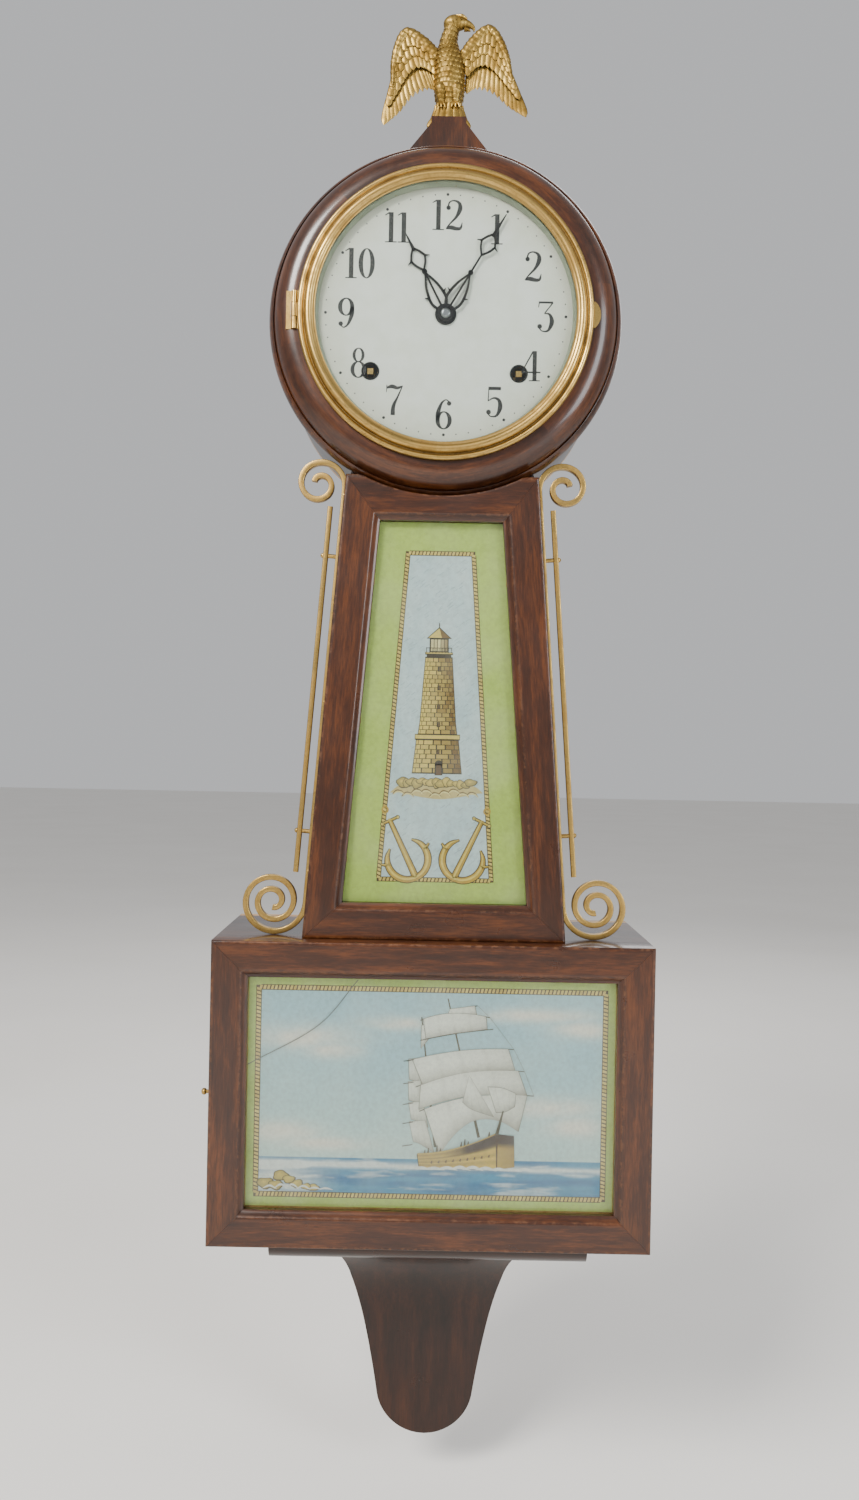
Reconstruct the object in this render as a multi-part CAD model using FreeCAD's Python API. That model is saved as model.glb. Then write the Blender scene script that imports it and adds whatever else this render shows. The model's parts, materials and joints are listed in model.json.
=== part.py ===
import FreeCAD, Part
import math
import os

# Banjo wall clock, built as its case maker and movement maker would build it.
# Units are millimetres. The origin is the centre of the hanger hole on the wall plane:
# +X is the viewer's right, +Z is up, and the wall is the plane y = 0 with the clock at y < 0.

V = FreeCAD.Vector

# --- Case: driving dimensions -------------------------------------------------------------
HEAD_Z = -75.0            # centre of dial, ring and movement
BOX_WIDTH = 254.0
BOX_TOP_Z = -438.0
BOX_BOTTOM_Z = -613.0
BOARD = 8.0               # back board, throat sides
BOX_WALL = 10.0           # lower box sides, top and bottom
BOX_FRONT_Y = -90.7       # front edge of the box walls
DOOR_BACK_Y = -91.1
DOOR_FRONT_Y = -111.0
THROAT_FRONT_Y = -98.0
THROAT_FRAME_BACK_Y = -86.8
THROAT_FOOT_HALF = 76.65  # half width of the throat frame on the box top
THROAT_FRAME_TOP_Z = HEAD_Z - 92.5
THROAT_TAPER = 0.0755     # half width lost per millimetre of height
SIDE_INSET = 2.0          # throat sides stand back from the frame edge
RAIL_FLAT = 17.5          # flat of every mitred frame
RAIL_BEVEL = 3.5          # bevel from the flat down to the glass
BEVEL_DEPTH = 3.0
REBATE = 4.0              # step that holds a glass
GLASS = 2.0
SIGHT_Z = (-417.1, -193.5)          # throat sight opening, bottom and top
SIGHT_HALF = (54.0, 36.0)           # its half widths
DRUM_RADIUS = 100.0
DRUM_BORE = 91.0
DRUM_FRONT_Y = -80.0
RING_RADIUS = 103.8
RING_FRONT_Y = -103.2
RING_OPENING = 78.0
DIAL_REBATE = 80.0

# --- Head glass door ------------------------------------------------------------------------
BEZEL_RADIUS = 85.3
BEZEL_BACK_Y = -103.5
BEZEL_FRONT_Y = -108.2
DIAL_GLASS_RADIUS = 77.0
DIAL_GLASS_BACK_Y = -104.8
BEZEL_HINGE_X = -87.4
BEZEL_HINGE_Y = -103.4

# --- Lower door hinge -------------------------------------------------------------------------
DOOR_HINGE_X = 127.6
DOOR_HINGE_Y = -90.9
DOOR_HINGE_ZS = (-480.0, -571.0)
HINGE_LENGTH = 26.0
KNUCKLE = 2.2
HINGE_PIN = 0.8
LEAF = 1.2
RUNNING = 0.05            # radial running clearance

# --- Dial and hands ------------------------------------------------------------------------------
DIAL_RADIUS = 79.8
DIAL_FRONT_Y = -100.2
DIAL_THICKNESS = 0.8
HOUR_HAND_LENGTH = 52.0
MINUTE_HAND_LENGTH = 67.0
HOUR_HAND_ANGLE = 332.5   # clockwise from twelve: five past eleven
MINUTE_HAND_ANGLE = 30.5
HAND_THICKNESS = 0.6
HOUR_HAND_Y = -101.5
MINUTE_HAND_Y = -102.8
WINDING_X = 43.0
WINDING_DROP = 33.5       # winding arbors below the centre arbor

# --- Movement --------------------------------------------------------------------------------------
BACK_PLATE_Y = -34.0      # rear face of the back plate
FRONT_PLATE_Y = -74.0     # front face of the front plate
PLATE = 2.0
PLATE_HALF = 56.0
PLATE_TOP = 66.0
PLATE_FOOT = -64.0
INNER_Y = BACK_PLATE_Y - PLATE
ARBOR = 1.5
PIVOT = 0.7
PENDULUM_LENGTH = 462.0
PENDULUM_Y = -25.0
SUSPENSION = (0.0, 60.0)  # verge and suspension axis above the centre arbor

# --- Side ornaments -----------------------------------------------------------------------------------
STRIP = 3.3
STRIP_Y = (-81.4, -86.4)
UPPER_SCROLL = (15.1, 8.0, 1.45)   # start radius, pitch per turn, turns
LOWER_SCROLL = (19.5, 7.1, 2.25)
UPPER_SCROLL_Z = -173.5
SIDE_RAIL_Z = (-401.0, -184.0)
SIDE_RAIL_GAP = 7.2


# ==== drawing helpers ====================================================================================
def wire(points, place):
    """Closed wire; a point is (a, b), and a pair of points is an arc through the first to the second."""
    edges = []
    here = points[0]
    for step in points[1:] + [points[0]]:
        if isinstance(step[0], tuple):
            edges.append(Part.Arc(place(*here), place(*step[0]), place(*step[1])).toShape())
            here = step[1]
        elif place(*here).distanceToPoint(place(*step)) > 1e-6:
            edges.append(Part.makeLine(place(*here), place(*step)))
            here = step
    return Part.Wire(edges)


def front_plate_of(points, y_back, y_front):
    """Prism whose outline is drawn in the front view."""
    face = Part.Face(wire(points, lambda x, z: V(x, y_back, z)))
    return face.extrude(V(0, y_front - y_back, 0))


def turned(points, x=0.0, z=0.0):
    """Ring or shaft turned about a front-to-back axis; points are (radius, y)."""
    face = Part.Face(wire(points, lambda r, y: V(r, y, 0)))
    solid = face.revolve(V(0, 0, 0), V(0, 1, 0), 360)
    solid.translate(V(x, 0, z))
    return solid


def rod(radius, y_back, y_front, x=0.0, z=0.0):
    return Part.makeCylinder(radius, y_back - y_front, V(x, y_back, z), V(0, -1, 0))


def bush(outer, inner, y_back, y_front, x=0.0, z=0.0):
    return rod(outer, y_back, y_front, x, z).cut(rod(inner, y_back + 1, y_front - 1, x, z))


def upright(radius, x, y, z_low, z_high):
    return Part.makeCylinder(radius, z_high - z_low, V(x, y, z_low))


def block(x0, x1, y_back, y_front, z0, z1):
    return Part.makeBox(x1 - x0, y_back - y_front, z1 - z0, V(x0, y_front, z0))


def joined(shapes):
    """One solid from touching or overlapping pieces."""
    result = shapes[0]
    for shape in shapes[1:]:
        result = result.fuse(shape)
    return result.removeSplitter()


def without(shape, cutters):
    for cutter in cutters:
        shape = shape.cut(cutter)
    return shape


def group(shapes):
    """Separate solids of one node."""
    return Part.makeCompound([solid for shape in shapes for solid in shape.Solids])


def mirrored(shape):
    return shape.mirror(V(0, 0, 0), V(1, 0, 0))


def pair(shape):
    """A piece and its mirror image as two solids."""
    return group([mirrored(shape), shape])


def at_head(shape):
    """Move a shape drawn about the centre arbor to its height on the wall."""
    shape.translate(V(0, 0, HEAD_Z))
    return shape


def ribbon(centre_line, width, y_back, y_front):
    """Flat strip of constant or tapering width along a curve drawn in the front view."""
    last = len(centre_line) - 1
    left = []
    right = []
    for i, (x, z) in enumerate(centre_line):
        before = centre_line[max(i - 1, 0)]
        after = centre_line[min(i + 1, last)]
        run = V(after[0] - before[0], 0, after[1] - before[1]).normalize()
        half = (width(i / last) if callable(width) else width) / 2
        left.append(V(x - run.z * half, y_back, z + run.x * half))
        right.append(V(x + run.z * half, y_back, z - run.x * half))
    right.reverse()
    sides = []
    for line in (left, right):
        curve = Part.BSplineCurve()
        curve.interpolate(line)
        sides.append(curve.toShape())
    ends = [Part.makeLine(left[-1], right[0]), Part.makeLine(right[-1], left[0])]
    outline = Part.Wire([sides[0], ends[0], sides[1], ends[1]])
    return Part.Face(outline).extrude(V(0, y_front - y_back, 0))


def polar(radius, degrees, x=0.0, z=0.0):
    """Point in the front view; angles run counter-clockwise from the viewer's right."""
    angle = math.radians(degrees)
    return (x + radius * math.cos(angle), z + radius * math.sin(angle))


# ==== case: throat taper ===================================================================================
def throat_half(z):
    """Half width of the throat frame at a height."""
    return THROAT_FOOT_HALF - THROAT_TAPER * (z - BOX_TOP_Z)


def sight_half(z):
    """Half width of the throat sight opening at a height."""
    share = (z - SIGHT_Z[0]) / (SIGHT_Z[1] - SIGHT_Z[0])
    return SIGHT_HALF[0] + share * (SIGHT_HALF[1] - SIGHT_HALF[0])


def throat_outline(z_low, z_high, half, grow=0.0):
    """Four corners of a taper between two heights, grown sideways and endways by one amount."""
    low, high = z_low - grow, z_high + grow
    return [(-half(low) - grow, low), (half(low) + grow, low), (half(high) + grow, high), (-half(high) - grow, high)]


def head_cutter(radius, y_back, y_front):
    return rod(radius, y_back, y_front, 0, HEAD_Z)


def make_back_board():
    box = block(-BOX_WIDTH / 2, BOX_WIDTH / 2, 0, -BOARD, BOX_BOTTOM_Z, BOX_TOP_Z)
    neck = throat_outline(BOX_TOP_Z - 1, HEAD_Z - 60, lambda z: throat_half(z) - SIDE_INSET)
    neck = front_plate_of(neck, 0, -BOARD)
    disc = head_cutter(DRUM_RADIUS, 0, -BOARD)
    board = joined([box, neck, disc])
    plate_seat = block(-13, 13, 1, -1.5, -11, 11)
    nail_pocket = rod(5.0, 0, -6.0)
    return without(board, [plate_seat, nail_pocket])


def make_wall_hanger():
    plate = block(-13, 13, 0, -1.5, -11, 11)
    screws = [rod(1.6, 1, -3, x, 0) for x in (-9.5, 9.5)]
    return without(plate, [rod(3.5, 1, -3)] + screws)


# ==== case: mitred frames ====================================================================================
def shrink(corners, amount):
    """Quadrilateral with every side moved inwards by one amount."""
    count = len(corners)
    lines = []
    for i in range(count):
        (x0, z0), (x1, z1) = corners[i], corners[(i + 1) % count]
        length = math.hypot(x1 - x0, z1 - z0)
        nx, nz = -(z1 - z0) / length, (x1 - x0) / length
        lines.append((nx, nz, nx * x0 + nz * z0 + amount))
    result = []
    for i in range(count):
        a0, b0, c0 = lines[i - 1]
        a1, b1, c1 = lines[i]
        det = a0 * b1 - a1 * b0
        result.append(((c0 * b1 - c1 * b0) / det, (a0 * c1 - a1 * c0) / det))
    return result


def mitred_frame(outer, sight, y_back, y_front, cutters=()):
    """Four rails with bevelled sight edges and a glass rebate, parted along their mitres."""
    def quad(points, y):
        return Part.makePolygon([V(x, y, z) for x, z in points + points[:1]])

    bevel_top = shrink(sight, -RAIL_BEVEL)
    bevel_y = y_front + BEVEL_DEPTH
    rebate_y = bevel_y + BEVEL_DEPTH
    body = front_plate_of(outer, y_back, y_front)
    bevel = Part.makeLoft([quad(bevel_top, y_front), quad(sight, bevel_y)], True, True)
    hole = front_plate_of(sight, y_back + 1, y_front - 1)
    rebate = front_plate_of(shrink(sight, -REBATE), y_back + 1, rebate_y)
    body = without(body, [bevel, hole, rebate] + list(cutters))
    centre_cut = shrink(sight, 8.0)

    def rail(i):
        j = (i + 1) % 4
        wedge = front_plate_of([outer[i], outer[j], centre_cut[j], centre_cut[i]], y_back, y_front)
        return body.common(wedge)

    left_stile = rail(3)
    return group([rail(0), rail(2), left_stile, mirrored(left_stile)])


def make_throat_frame():
    outer = throat_outline(BOX_TOP_Z, THROAT_FRAME_TOP_Z, throat_half)
    sight = throat_outline(SIGHT_Z[0], SIGHT_Z[1], sight_half)
    ring_room = head_cutter(RING_RADIUS + 0.2, 0, THROAT_FRONT_Y - 5)
    return mitred_frame(outer, sight, THROAT_FRAME_BACK_Y, THROAT_FRONT_Y, [ring_room])


def glass_seat(sight, clearance=0.3):
    return shrink(sight, clearance - REBATE)


def make_throat_glass():
    sight = throat_outline(SIGHT_Z[0], SIGHT_Z[1], sight_half)
    front = THROAT_FRONT_Y + 2 * BEVEL_DEPTH
    return front_plate_of(glass_seat(sight), front + GLASS, front)


def make_throat_glass_blocks():
    """Small glue blocks that hold the throat glass in its rebate."""
    front = THROAT_FRONT_Y + 2 * BEVEL_DEPTH + GLASS
    blocks = []
    for z in (SIGHT_Z[0] + 30, 0.5 * sum(SIGHT_Z), SIGHT_Z[1] - 30):
        outer = sight_half(z) + REBATE - 0.8
        block_right = block(outer - 3.0, outer, front + 3.0, front, z - 7, z + 7)
        blocks += [block_right, mirrored(block_right)]
    return group(blocks)


def make_throat_side():
    """Tapering side board from the box top up to the drum."""
    low, high = BOX_TOP_Z, HEAD_Z - 70
    outer_low = throat_half(low) - SIDE_INSET
    outer_high = throat_half(high) - SIDE_INSET
    corners = [(outer_low - BOARD, low), (outer_low, low), (outer_high, high), (outer_high - BOARD, high)]
    side = front_plate_of(corners, -BOARD, THROAT_FRAME_BACK_Y)
    side = without(side, [head_cutter(DRUM_RADIUS, 0, DRUM_FRONT_Y),
                          head_cutter(RING_RADIUS + 0.2, DRUM_FRONT_Y + 1, RING_FRONT_Y)])
    return side


# ==== case: head =================================================================================================
def make_head_drum():
    drum = turned([(DRUM_BORE, -BOARD), (DRUM_RADIUS, -BOARD), (DRUM_RADIUS, DRUM_FRONT_Y),
                   (DRUM_BORE, DRUM_FRONT_Y)], 0, HEAD_Z)
    throat_passage = block(-38, 38, -BOARD - 4, DRUM_FRONT_Y + 8, HEAD_Z - 120, HEAD_Z - 60)
    return drum.cut(throat_passage)


def make_head_ring():
    """Turned ring: outer bead, quirk, swelling face, flat seat for the brass door."""
    ring = turned([(DIAL_REBATE, DRUM_FRONT_Y), (101.2, DRUM_FRONT_Y), ((RING_RADIUS, -86.6), (101.4, -93.0)),
                   (100.3, -92.2), ((96.0, -99.9), (87.5, RING_FRONT_Y)), (RING_OPENING, RING_FRONT_Y),
                   (RING_OPENING, DIAL_FRONT_Y), (DIAL_REBATE, DIAL_FRONT_Y)], 0, HEAD_Z)
    hinge_relief = upright(2.1, BEZEL_HINGE_X, BEZEL_HINGE_Y, HEAD_Z - 11.6, HEAD_Z + 11.6)
    leaf_seat = block(-92.0, BEZEL_HINGE_X, -102.0, -104.0, HEAD_Z - 11.2, HEAD_Z + 11.2)
    return without(ring, [hinge_relief, leaf_seat])


def make_finial_plinth():
    """Flared plinth saddled on the drum, with a square cap."""
    outline = [(-10.6, 58.0), (-10.6, 54.0), ((-19.5, 42.8), (-38.0, 20.0)), (-38.0, 5.0), (38.0, 5.0),
               (38.0, 20.0), ((19.5, 42.8), (10.6, 54.0)), (10.6, 58.0)]
    body = front_plate_of(outline, -27.0, -66.0)
    return body.cut(head_cutter(DRUM_RADIUS, 0, DRUM_FRONT_Y - 20))


# ==== eagle ========================================================================================================
EAGLE_Y = -46.5
EAGLE_FOOT_Z = 58.0


def turned_upright(points, y):
    """Solid turned about a vertical axis on the centre plane; points are (radius, z)."""
    face = Part.Face(wire(points, lambda r, z: V(r, y, z)))
    return face.revolve(V(0, y, 0), V(0, 0, 1), 360)


def spline_plate(points, y_back, y_front):
    """Prism with a smooth closed outline through the given points."""
    curve = Part.BSplineCurve()
    curve.interpolate([V(x, y_back, z) for x, z in points], PeriodicFlag=True)
    return Part.Face(Part.Wire(curve.toShape())).extrude(V(0, y_front - y_back, 0))


def make_eagle():
    """Cast eagle on a leafy rock, wings raised, head turned to the viewer's right."""
    foot = EAGLE_FOOT_Z
    rock = turned_upright([(0, foot), (8.5, foot), (9.5, foot + 4), ((5.0, foot + 9), (8.0, foot + 15)),
                           (6.0, foot + 19), (0, foot + 19)], EAGLE_Y)
    body = turned_upright([(0, foot + 17), (6.5, foot + 20), ((11.0, foot + 36), (6.5, foot + 54)),
                           (5.0, foot + 61), (0, foot + 64)], EAGLE_Y)
    head = Part.makeSphere(6.2, V(2.0, EAGLE_Y, foot + 63.5))
    beak = Part.makeCone(3.0, 0.6, 9.0, V(5.0, EAGLE_Y, foot + 64.0), V(1, 0, -0.35))
    wing = [(4, foot + 50), (13, foot + 58), (25, foot + 63), (35, foot + 55), (42, foot + 38), (45.6, foot + 16),
            (38, foot + 20), (30, foot + 17), (22, foot + 18), (12, foot + 24)]
    right_wing = spline_plate(wing, EAGLE_Y + 3, EAGLE_Y - 2)
    left_wing = mirrored(right_wing)
    return joined([rock, body, head, beak, right_wing, left_wing])


# ==== case: lower box ================================================================================================
def hinge_reliefs():
    """Grooves for the knuckles, shared by the door edge and the case edge."""
    half = HINGE_LENGTH / 2 + 0.4
    return [upright(KNUCKLE + 0.4, DOOR_HINGE_X, DOOR_HINGE_Y, z - half, z + half) for z in DOOR_HINGE_ZS]


def case_leaf_seats():
    half = HINGE_LENGTH / 2
    return [block(115.0, DOOR_HINGE_X, BOX_FRONT_Y + LEAF, BOX_FRONT_Y, z - half, z + half) for z in DOOR_HINGE_ZS]


def door_leaf_seats():
    half = HINGE_LENGTH / 2
    return [block(115.0, DOOR_HINGE_X, DOOR_BACK_Y, DOOR_BACK_Y - LEAF, z - half, z + half) for z in DOOR_HINGE_ZS]


def make_box_side(right):
    low, high = BOX_BOTTOM_Z + BOX_WALL, BOX_TOP_Z - BOX_WALL
    half = BOX_WIDTH / 2
    if right:
        side = block(half - BOX_WALL, half, -BOARD, BOX_FRONT_Y, low, high)
        return without(side, hinge_reliefs() + case_leaf_seats())
    return block(-half, BOX_WALL - half, -BOARD, BOX_FRONT_Y, low, high)


def make_box_top():
    """Board with the passage for the pendulum rod."""
    board = block(-BOX_WIDTH / 2, BOX_WIDTH / 2, -BOARD, BOX_FRONT_Y, BOX_TOP_Z - BOX_WALL, BOX_TOP_Z)
    return board.cut(block(-55, 55, -14, -76, BOX_TOP_Z - 20, BOX_TOP_Z + 5))


def make_box_bottom():
    return block(-BOX_WIDTH / 2, BOX_WIDTH / 2, -BOARD, BOX_FRONT_Y, BOX_BOTTOM_Z, BOX_BOTTOM_Z + BOX_WALL)


def door_corners():
    half = BOX_WIDTH / 2
    return [(-half, BOX_BOTTOM_Z), (half, BOX_BOTTOM_Z), (half, BOX_TOP_Z), (-half, BOX_TOP_Z)]


def door_sight():
    return shrink(door_corners(), RAIL_FLAT + RAIL_BEVEL)


def make_door_frame():
    frame = mitred_frame(door_corners(), door_sight(), DOOR_BACK_Y, DOOR_FRONT_Y)
    pin_hole = Part.makeCylinder(PULL_PIN, 8.0, V(-BOX_WIDTH / 2 - 1, PULL_PIN_Y, PULL_PIN_Z), V(1, 0, 0))
    peg_hole = rod(1.5, DOOR_BACK_Y + 1, DOOR_BACK_Y - 6, PEG_X, PULL_PIN_Z)
    return without(frame, hinge_reliefs() + door_leaf_seats() + [pin_hole, peg_hole])


def make_door_glass():
    front = DOOR_FRONT_Y + 2 * BEVEL_DEPTH
    return front_plate_of(glass_seat(door_sight()), front + GLASS, front)


def make_door_glass_stops():
    """Four wooden beads behind the glass, butted at the corners."""
    front = DOOR_FRONT_Y + 2 * BEVEL_DEPTH + GLASS
    outer = glass_seat(door_sight(), 0.0)
    x, z_low, z_high = outer[1][0], outer[0][1], outer[2][1]
    bead = 4.0
    return group([block(-x, x, front + bead, front, z_low, z_low + bead),
                  block(-x, x, front + bead, front, z_high - bead, z_high),
                  block(-x, bead - x, front + bead, front, z_low + bead, z_high - bead),
                  block(x - bead, x, front + bead, front, z_low + bead, z_high - bead)])


def make_hinge_leaves(on_door):
    """Leaf plates with their share of the three knuckles; the case leaves hold the pins."""
    leaves = []
    third = HINGE_LENGTH / 3
    own, others = ((1,), (0, 2)) if on_door else ((0, 2), (1,))
    for seat, z in zip(door_leaf_seats() if on_door else case_leaf_seats(), DOOR_HINGE_ZS):
        low = z - HINGE_LENGTH / 2
        leaf = without(seat, [knuckle_of(low + k * third, third, 0.4, -0.15) for k in others])
        leaf = joined([leaf] + [knuckle_of(low + k * third, third, 0.0, 0.15) for k in own])
        if on_door:
            leaves.append(leaf.cut(upright(HINGE_PIN + RUNNING, DOOR_HINGE_X, DOOR_HINGE_Y, low - 1, low + 3 * third + 1)))
        else:
            pin = upright(HINGE_PIN, DOOR_HINGE_X, DOOR_HINGE_Y, low + 0.5, low + 3 * third - 0.5)
            leaves.append(joined([leaf, pin]))
    return group(leaves)


def knuckle_of(low, length, grow, gap):
    return upright(KNUCKLE + grow, DOOR_HINGE_X, DOOR_HINGE_Y, low + gap, low + length - gap)


PULL_PIN = 1.5
PULL_PIN_Y = -101.0
PULL_PIN_Z = -527.0
PEG_X = -113.4


def make_door_pull_pin():
    """Small turned pull in the free edge of the door: shank, neck and round head."""
    edge = -BOX_WIDTH / 2
    face = Part.Face(wire([(0, 7.0), (PULL_PIN, 7.0), (PULL_PIN, 0.0), (1.0, -1.4), (1.1, -2.6),
                           ((1.9, -4.2), (0.7, -5.5)), (0, -5.5)], lambda r, s: V(edge + s, PULL_PIN_Y + r, PULL_PIN_Z)))
    return face.revolve(V(edge, PULL_PIN_Y, PULL_PIN_Z), V(1, 0, 0), 360)


def make_door_catch_peg():
    return joined([rod(1.5, -84.0, DOOR_BACK_Y - 5, PEG_X, PULL_PIN_Z),
                   Part.makeSphere(1.9, V(PEG_X, -85.0, PULL_PIN_Z))])


def make_door_catch_spring():
    """Springy brass strip on the case side that grips the peg."""
    wall = BOX_WALL - BOX_WIDTH / 2
    strip = block(wall, wall + 0.6, -58, -88, PULL_PIN_Z - 4, PULL_PIN_Z + 4)
    nib = upright(0.7, wall + 0.8, -82.0, PULL_PIN_Z - 4, PULL_PIN_Z + 4)
    screw = Part.makeCylinder(2.2, 1.4, V(wall + 0.6, -65, PULL_PIN_Z), V(1, 0, 0))
    return joined([strip, nib, screw])


def make_bracket_shelf():
    """Moulded board under the box."""
    low = BOX_BOTTOM_Z - 13.0
    profile = [(0.0, BOX_BOTTOM_Z), (-96.0, BOX_BOTTOM_Z), (-96.0, BOX_BOTTOM_Z - 4.0),
               ((-94.6, BOX_BOTTOM_Z - 8.4), (-90.0, low)), (0.0, low)]
    face = Part.Face(wire(profile, lambda y, z: V(-93.0, y, z)))
    return face.extrude(V(186.0, 0, 0))


def make_bottom_bracket():
    """Thin board bent to a cove under the shelf, its silhouette tapering to a round end."""
    top, end = BOX_BOTTOM_Z - 13.0, -775.2
    cove, thick = 80.0, 6.0
    back = cove + thick
    middle_y, middle_z = -back, top - cove
    half_swing = math.acos(math.sqrt(back ** 2 - cove ** 2) / back) / 2

    def on_arc(radius, angle):
        return (middle_y + radius * math.cos(angle), middle_z + radius * math.sin(angle))

    outer = (on_arc(cove, math.pi / 4), (-thick, middle_z))
    inner = (on_arc(back, half_swing), on_arc(back, 2 * half_swing))
    profile = [(middle_y, top), outer, (-thick, end - 2), (0.0, end - 2), (0.0, middle_z), inner]
    board = Part.Face(wire(profile, lambda y, z: V(-100, y, z))).extrude(V(200, 0, 0))
    silhouette = [(-80, top), ((-61.0, -643.0), (-49.0, -669.0)), ((-39.5, -706.0), (-31.0, -751.0)),
                  ((0.0, end - 1), (31.0, -751.0)), ((39.5, -706.0), (49.0, -669.0)), ((61.0, -643.0), (80, top))]
    return board.common(front_plate_of(silhouette, 10, -110))


# ==== side scrolls and rails ==============================================================================================
def strip_x(z):
    """Centre line of the brass strip on the right-hand throat side."""
    return throat_half(z) - SIDE_INSET + STRIP / 2


def spiral(start, radius, pitch, turns, sense):
    """Points of an even spiral that leaves the strip at its start and winds inwards."""
    rate = pitch / math.tau
    lean = math.atan(THROAT_TAPER)
    first = math.pi + lean - sense * math.atan(rate / radius)
    centre = (start[0] - radius * math.cos(first), start[1] - radius * math.sin(first))
    points = []
    steps = round(turns * 16)
    for i in range(steps + 1):
        swept = math.tau * turns * i / steps
        r = radius - rate * swept
        a = first + sense * swept
        points.append((centre[0] + r * math.cos(a), centre[1] + r * math.sin(a)))
    return points


def make_side_scroll():
    """One brass strip: spiral above, straight run on the throat side, larger spiral below."""
    upper_start = (strip_x(UPPER_SCROLL_Z), UPPER_SCROLL_Z)
    lower_z = BOX_TOP_Z + STRIP / 2 + LOWER_SCROLL[0] - LOWER_SCROLL[1] / 4
    lower_start = (strip_x(lower_z), lower_z)
    upper = spiral(upper_start, *UPPER_SCROLL, -1)
    lower = spiral(lower_start, *LOWER_SCROLL, 1)
    straight = ribbon([lower_start, upper_start], STRIP, *STRIP_Y)
    return joined([straight, ribbon(upper, STRIP, *STRIP_Y), ribbon(lower, STRIP, *STRIP_Y)])


def rail_x(z):
    return strip_x(z) + STRIP / 2 + SIDE_RAIL_GAP


def make_side_rail():
    low, high = SIDE_RAIL_Z
    rail = ribbon([(rail_x(low), low), (rail_x(high), high)], 3.0, -82.4, -85.4)
    return without(rail, spacer_pins(0.9 + RUNNING))


def spacer_pins(radius):
    """Nail lines through rail, spacer and strip, square to the throat side."""
    pins = []
    for z in (SIDE_RAIL_Z[0] + 24.0, SIDE_RAIL_Z[1] - 30.0):
        pins.append(Part.makeCylinder(radius, 16.0, V(strip_x(z), -83.9, z), V(1, 0, THROAT_TAPER)))
    return pins


def make_rail_spacers():
    """Brass spacer tubes with their nails, two for each rail."""
    pieces = []
    for z in (SIDE_RAIL_Z[0] + 24.0, SIDE_RAIL_Z[1] - 30.0):
        run = V(1, 0, THROAT_TAPER).normalize()
        foot = V(strip_x(z), -83.9, z) + run * (STRIP / 2 + 0.02)
        tube = Part.makeCylinder(1.3, SIDE_RAIL_GAP - 1.6, foot, run)
        nail = Part.makeCylinder(0.9, SIDE_RAIL_GAP + 2.4, foot, run)
        head = Part.makeSphere(1.5, foot + run * (SIDE_RAIL_GAP + 1.55), run, 0, 90, 360)
        spacer = joined([tube, nail, head])
        pieces += [spacer, mirrored(spacer)]
    return group(pieces)


# ==== brass door of the head =================================================================================================
def make_bezel():
    """Spun brass ring with two beads and a rebate for the glass."""
    back = BEZEL_BACK_Y
    seat = DIAL_GLASS_RADIUS + 0.3
    ring = turned([(seat, back), (BEZEL_RADIUS, back), ((84.7, -106.4), (82.4, -106.2)),
                   ((79.6, BEZEL_FRONT_Y), (76.8, -107.0)), (75.2, -106.9), (75.2, -106.4), (seat, -106.4)], 0, HEAD_Z)
    return without(ring, [make_bezel_tab(), bezel_leaf_seat()])


def bezel_leaf_seat():
    return block(BEZEL_HINGE_X, -81.0, BEZEL_BACK_Y, BEZEL_BACK_Y - 0.8, HEAD_Z - 11.0, HEAD_Z + 11.0)


def make_dial_glass():
    return rod(DIAL_GLASS_RADIUS, DIAL_GLASS_BACK_Y, DIAL_GLASS_BACK_Y - 1.5, 0, HEAD_Z)


def make_glass_retainer():
    """Painted flange behind the glass that frames the dial."""
    return turned([(73.6, -101.2), (76.9, -101.2), (77.0, BEZEL_BACK_Y), (DIAL_GLASS_RADIUS + 0.3, BEZEL_BACK_Y),
                   (DIAL_GLASS_RADIUS + 0.3, DIAL_GLASS_BACK_Y), (75.0, DIAL_GLASS_BACK_Y)], 0, HEAD_Z)


def make_bezel_tab():
    """Thumb tab opposite the hinge."""
    outline = [(80.5, HEAD_Z - 7.5), (86.0, HEAD_Z - 7.5), ((89.4, HEAD_Z), (86.0, HEAD_Z + 7.5)), (80.5, HEAD_Z + 7.5)]
    return front_plate_of(outline, BEZEL_BACK_Y, BEZEL_BACK_Y - 1.2)


BEZEL_KNUCKLE = 1.7
BEZEL_PIN = 0.6
BEZEL_KNUCKLES = (-11.0, -4.0, 4.0, 11.0)


def bezel_knuckle(index, grow=0.0, gap=0.15):
    low = HEAD_Z + BEZEL_KNUCKLES[index] + gap
    high = HEAD_Z + BEZEL_KNUCKLES[index + 1] - gap
    return upright(BEZEL_KNUCKLE + grow, BEZEL_HINGE_X, BEZEL_HINGE_Y, low, high)


def make_bezel_hinge_fixed():
    """Leaf on the wooden ring with the two end knuckles and the pin."""
    leaf = block(-92.0, BEZEL_HINGE_X, -102.0, -103.0, HEAD_Z - 11.0, HEAD_Z + 11.0)
    pin = upright(BEZEL_PIN, BEZEL_HINGE_X, BEZEL_HINGE_Y, HEAD_Z - 10.5, HEAD_Z + 10.5)
    return joined([leaf.cut(bezel_knuckle(1, 0.4, -0.15)), bezel_knuckle(0), bezel_knuckle(2), pin])


def make_bezel_hinge_moving():
    """Leaf behind the brass ring with the middle knuckle."""
    leaf = without(bezel_leaf_seat(), [bezel_knuckle(0, 0.4, -0.15), bezel_knuckle(2, 0.4, -0.15)])
    hinge = joined([leaf, bezel_knuckle(1)])
    return hinge.cut(upright(BEZEL_PIN + RUNNING, BEZEL_HINGE_X, BEZEL_HINGE_Y, HEAD_Z - 20, HEAD_Z + 20))


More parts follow.
